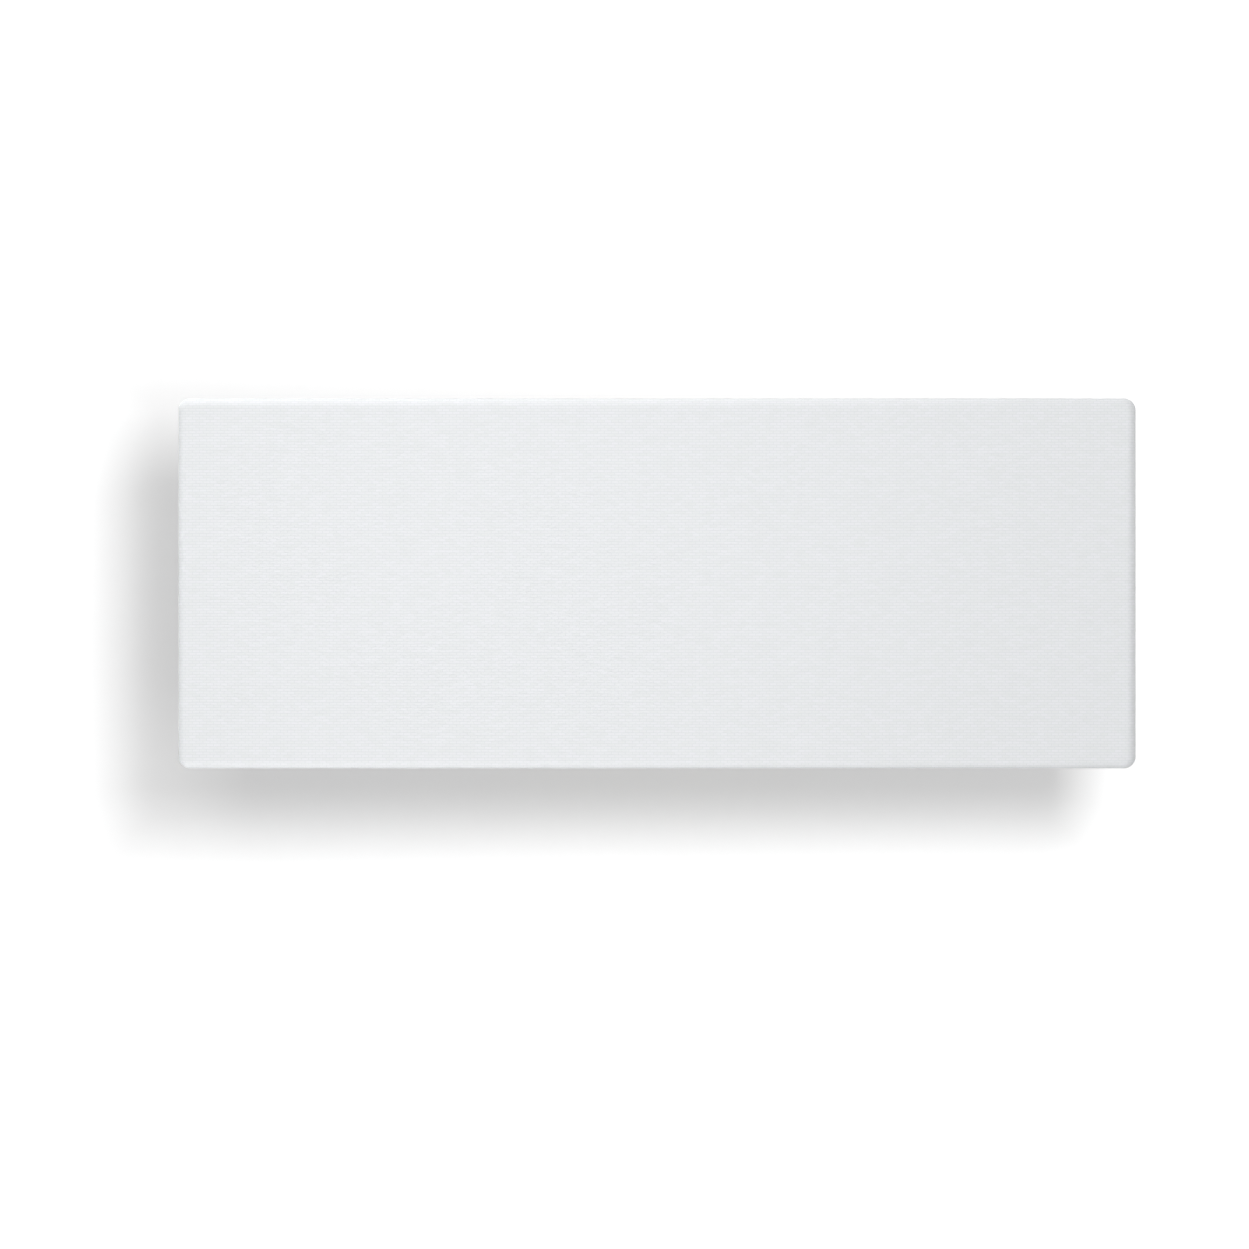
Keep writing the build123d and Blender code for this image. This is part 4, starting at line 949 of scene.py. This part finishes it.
solder_places = four_places(0, *LEAD_END)
for node, rows_z in PART_ROWS.items():
    low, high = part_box(node)
    solder_places += [(x, z * MM) for x in (low.x + WIRE_RADIUS, high.x - WIRE_RADIUS) for z in rows_z]
bm = bmesh.new()
for x, z in solder_places:
    cone = bmesh.ops.create_cone(bm, cap_ends=True, segments=SOLDER_SIDES, radius1=SOLDER_RADIUS,
                                 radius2=SOLDER_TIP, depth=SOLDER_RISE)["verts"]
    bmesh.ops.transform(bm, verts=cone, matrix=Matrix.Translation((x, board_y + SOLDER_RISE / 2, z))
                        @ Matrix.Rotation(-QUARTER, 4, "X"))
make_piece(bm, "board_solder", "tinned_wire", "mounting_frame")

# %% [markdown]
# ## Wall and floor
# The picture shows the speaker on a white wall. A seamless sweep of wall and floor stands behind it, far
# enough for the part that is sunk in a real wall to be seen. It could be a box, but a sweep has no line
# where the floor begins. It is one-sided and throws no shadow itself, so the back of the speaker can be
# seen and lit as well.

# %% Wall and floor
WALL_Y = 0.10
FLOOR_Z = -0.80
SWEEP_RADIUS = 0.25
STAGE_HALF_WIDTH = 4.0
WALL_TOP = 3.0
FLOOR_FRONT = -4.0
SWEEP_STEPS = 16

bm = bmesh.new()
pen = bm.verts.new((0, FLOOR_FRONT, FLOOR_Z))
pen = bmesh.ops.extrude_vert_indiv(bm, verts=[pen])["verts"][0]
pen.co = (0, WALL_Y - SWEEP_RADIUS, FLOOR_Z)
swept = bmesh.ops.spin(bm, geom=[pen], cent=(0, WALL_Y - SWEEP_RADIUS, FLOOR_Z + SWEEP_RADIUS),
                       axis=(1, 0, 0), angle=QUARTER, steps=SWEEP_STEPS)["geom_last"]
pen = bmesh.ops.extrude_vert_indiv(bm, verts=verts_of(swept))["verts"][0]
pen.co = (0, WALL_Y, WALL_TOP)
bmesh.ops.translate(bm, verts=bm.verts, vec=(-STAGE_HALF_WIDTH, 0, 0))
pulled = bmesh.ops.extrude_edge_only(bm, edges=bm.edges)["geom"]
bmesh.ops.translate(bm, verts=verts_of(pulled), vec=(2 * STAGE_HALF_WIDTH, 0, 0))
for face in bm.faces:
    face.smooth = True
bm.normal_update()
bmesh.ops.reverse_faces(bm, faces=[face for face in bm.faces if face.normal.z < face.normal.y])
mesh = bpy.data.meshes.new("wall_and_floor")
bm.to_mesh(mesh)
bm.free()
backdrop = bpy.data.objects.new("wall_and_floor", mesh)
bpy.context.scene.collection.objects.link(backdrop)
backdrop.visible_shadow = False
backdrop.visible_diffuse = False
backdrop.visible_glossy = False
backdrop.visible_transmission = False
print("backdrop faces:", len(mesh.polygons))

# %% [markdown]
# ## Wall paint and painted glow
# Matt white paint takes the shadow. To be white in the picture it would need more light than the white
# cloth can take, so the wall is helped in two ways. It gives back a little more light than it gets, and
# it has a painted glow, light that only the camera sees. This painted light is weak behind the speaker,
# where it would wash out the shadow, and grows to full white further out, so it also paints the shadow's
# fading edge and paints out the faint shadows the lamps throw above and to the right. It is centred on
# the shadow, which falls to the left and below.

# %% Wall paint and painted glow
WALL_LIFT = 1.22
WALL_GLOW = 0.39
GLOW_REACH = 0.2
# how far the painted glow's dim middle is shifted left and down to follow the shadow, and how far
# that dim core reaches past the cover's edge
GLOW_LEAN = {"X": 0.035, "Z": 0.018}
GLOW_MARGIN = {"X": -0.005, "Z": 0.017}

paint = bpy.data.materials.new("matt white wall paint with painted glow")
paint.use_nodes = True
tree = paint.node_tree
tree.nodes.clear()
seen = add_node(tree, "ShaderNodeLightPath").outputs["Is Camera Ray"]
place = add_node(tree, "ShaderNodeTexCoord").outputs["Object"]
axes = add_node(tree, "ShaderNodeSeparateXYZ", {0: place})
beyond = []
for axis, half in (("X", cover_high.x), ("Z", cover_high.z)):
    leaned = add_node(tree, "ShaderNodeMath", {
        0: axes.outputs[axis], 1: GLOW_LEAN[axis]}, operation="ADD")
    size = add_node(tree, "ShaderNodeMath", {0: leaned.outputs[0]}, operation="ABSOLUTE")
    past = add_node(tree, "ShaderNodeMath", {
        0: size.outputs[0], 1: half + GLOW_MARGIN[axis]}, operation="SUBTRACT")
    beyond.append(past.outputs[0])
away = add_node(tree, "ShaderNodeMath", {0: beyond[0], 1: beyond[1]}, operation="MAXIMUM")
# painted light: the camera-only glow stays at WALL_GLOW round the speaker and its shadow and rises to full
# white further out
level = add_node(tree, "ShaderNodeMapRange", {
    "Value": away.outputs[0], "From Max": GLOW_REACH, "To Min": WALL_GLOW, "To Max": 1.0})
glow_strength = add_node(tree, "ShaderNodeMath", {
    0: seen, 1: level.outputs["Result"]}, operation="MULTIPLY")
white = [WALL_LIFT * share for share in linear("#F8F8F8")]
matt = add_node(tree, "ShaderNodeBsdfDiffuse", {"Color": white})
glow = add_node(tree, "ShaderNodeEmission", {"Strength": glow_strength.outputs[0]})
front = add_node(tree, "ShaderNodeAddShader", {0: matt.outputs[0], 1: glow.outputs[0]})
clear = add_node(tree, "ShaderNodeBsdfTransparent")
behind = add_node(tree, "ShaderNodeNewGeometry").outputs["Backfacing"]
whole = add_node(tree, "ShaderNodeMixShader", {0: behind, 1: front.outputs[0], 2: clear.outputs[0]})
add_node(tree, "ShaderNodeOutputMaterial", {"Surface": whole.outputs[0]})
backdrop.data.materials.append(paint)
print("wall paint nodes:", len(tree.nodes))

# %% [markdown]
# ## Camera
# The picture looks straight at the cover's face through a long lens, so that the sides hardly show. The
# camera could be moved until the outline fits, but it can also be worked out: the outline's width in
# pixels gives the distance, and its middle gives the offset.

# %% Camera
FOCAL_LENGTH = 100.0
SENSOR = 36.0
# the picture's side, and the width and middle of the cover's outline in it, in pixels
IMAGE_SIDE = 1249
OUTLINE_SPAN = 957.5
OUTLINE_CENTRE = (657.0, 583.4)

pixel = (cover_high.x - cover_low.x) / OUTLINE_SPAN
camera_distance = IMAGE_SIDE * pixel * FOCAL_LENGTH / SENSOR
lens = bpy.data.cameras.new("camera")
lens.lens = FOCAL_LENGTH
lens.sensor_width = SENSOR
camera = bpy.data.objects.new("camera", lens)
camera.location = (
    (IMAGE_SIDE / 2 - OUTLINE_CENTRE[0]) * pixel,
    cover_low.y + EDGE_RADIUS - camera_distance,
    (OUTLINE_CENTRE[1] - IMAGE_SIDE / 2) * pixel)
camera.rotation_euler = (QUARTER, 0, 0)
bpy.context.scene.collection.objects.link(camera)
bpy.context.scene.camera = camera
print("camera distance:", round(camera_distance, 3))

# %% [markdown]
# ## Light
# A product picture of white on white lives on small differences. Three wide panels beside the camera
# light the wall, and the sum of their shadows is the one soft, rounded shadow to the left and below: one
# key alone would make its corner too dark. A small panel near the face and a panel on each side make the
# face fall off to the right, a strip overhead brightens the upper edge and one below opens the lower.
# These would wash out the shadow, so they are kept off the wall, as a flag does in a studio: Blender's
# light linking leaves the wall out. Two large panels behind light the back. The world adds an even light,
# and is plain white to the camera and in reflections.

# %% Lamps
# each panel: its place, its width and height, its power, and if the wall sees it
PANELS = {
    "key": ((0.55, -1.69, 0.50), (0.65, 0.77), 11.5, True),
    "upper_left": ((-0.29, -1.69, 0.60), (1.0, 0.72), 4.6, True),
    "lower_right": ((0.53, -1.69, -0.55), (0.88, 0.96), 3.45, True),
    "front_left": ((-0.25, -0.70, 0.02), (0.4, 0.4), 1.2, False),
    "left": ((-1.20, -0.30, 0.0), (0.2, 0.8), 2.5, False),
    "right": ((1.20, -0.30, 0.0), (0.2, 0.8), 2.2, False),
    "overhead": ((-0.60, -0.20, 1.3), (0.8, 0.2), 11.8, False),
    "below": ((-0.35, -0.25, -1.2), (1.0, 0.2), 10.0, False),
    "behind_left": ((-1.2, 1.6, 1.2), (2.2, 2.2), 30.0, False),
    "behind_right": ((1.4, 1.4, 0.6), (1.8, 1.8), 15.0, False),
}
flag = bpy.data.collections.new("wall behind a flag")
flag.objects.link(backdrop)
flag.collection_objects[0].light_linking.link_state = "EXCLUDE"
for name, (place, size, power, on_wall) in PANELS.items():
    lamp = bpy.data.lights.new(name, "AREA")
    lamp.shape = "RECTANGLE"
    lamp.size, lamp.size_y = size
    lamp.energy = power
    panel = bpy.data.objects.new(name, lamp)
    panel.location = place
    panel.rotation_euler = (-Vector(place)).to_track_quat("-Z", "Y").to_euler()
    if not on_wall:
        panel.light_linking.receiver_collection = flag
    bpy.context.scene.collection.objects.link(panel)
print("panels:", len(PANELS), "on the wall:", sum(row[3] for row in PANELS.values()))

# %% World and view
AMBIENT = 0.098

world = bpy.data.worlds.new("white room")
world.use_nodes = True
bpy.context.scene.world = world
tree = world.node_tree
path = add_node(tree, "ShaderNodeLightPath")
mirrored = add_node(tree, "ShaderNodeMath", {
    0: path.outputs["Is Glossy Ray"], 1: path.outputs["Is Transmission Ray"]}, operation="MAXIMUM")
shown = add_node(tree, "ShaderNodeMath", {
    0: path.outputs["Is Camera Ray"], 1: mirrored.outputs[0]}, operation="MAXIMUM")
level = add_node(tree, "ShaderNodeMapRange", {
    "Value": shown.outputs[0], "To Min": AMBIENT, "To Max": 1.0})
sky = tree.nodes["Background"]
sky.inputs["Color"].default_value = linear("#FFFFFF")
tree.links.new(level.outputs["Result"], sky.inputs["Strength"])
bpy.context.scene.view_settings.view_transform = "Standard"
print("even light:", AMBIENT)
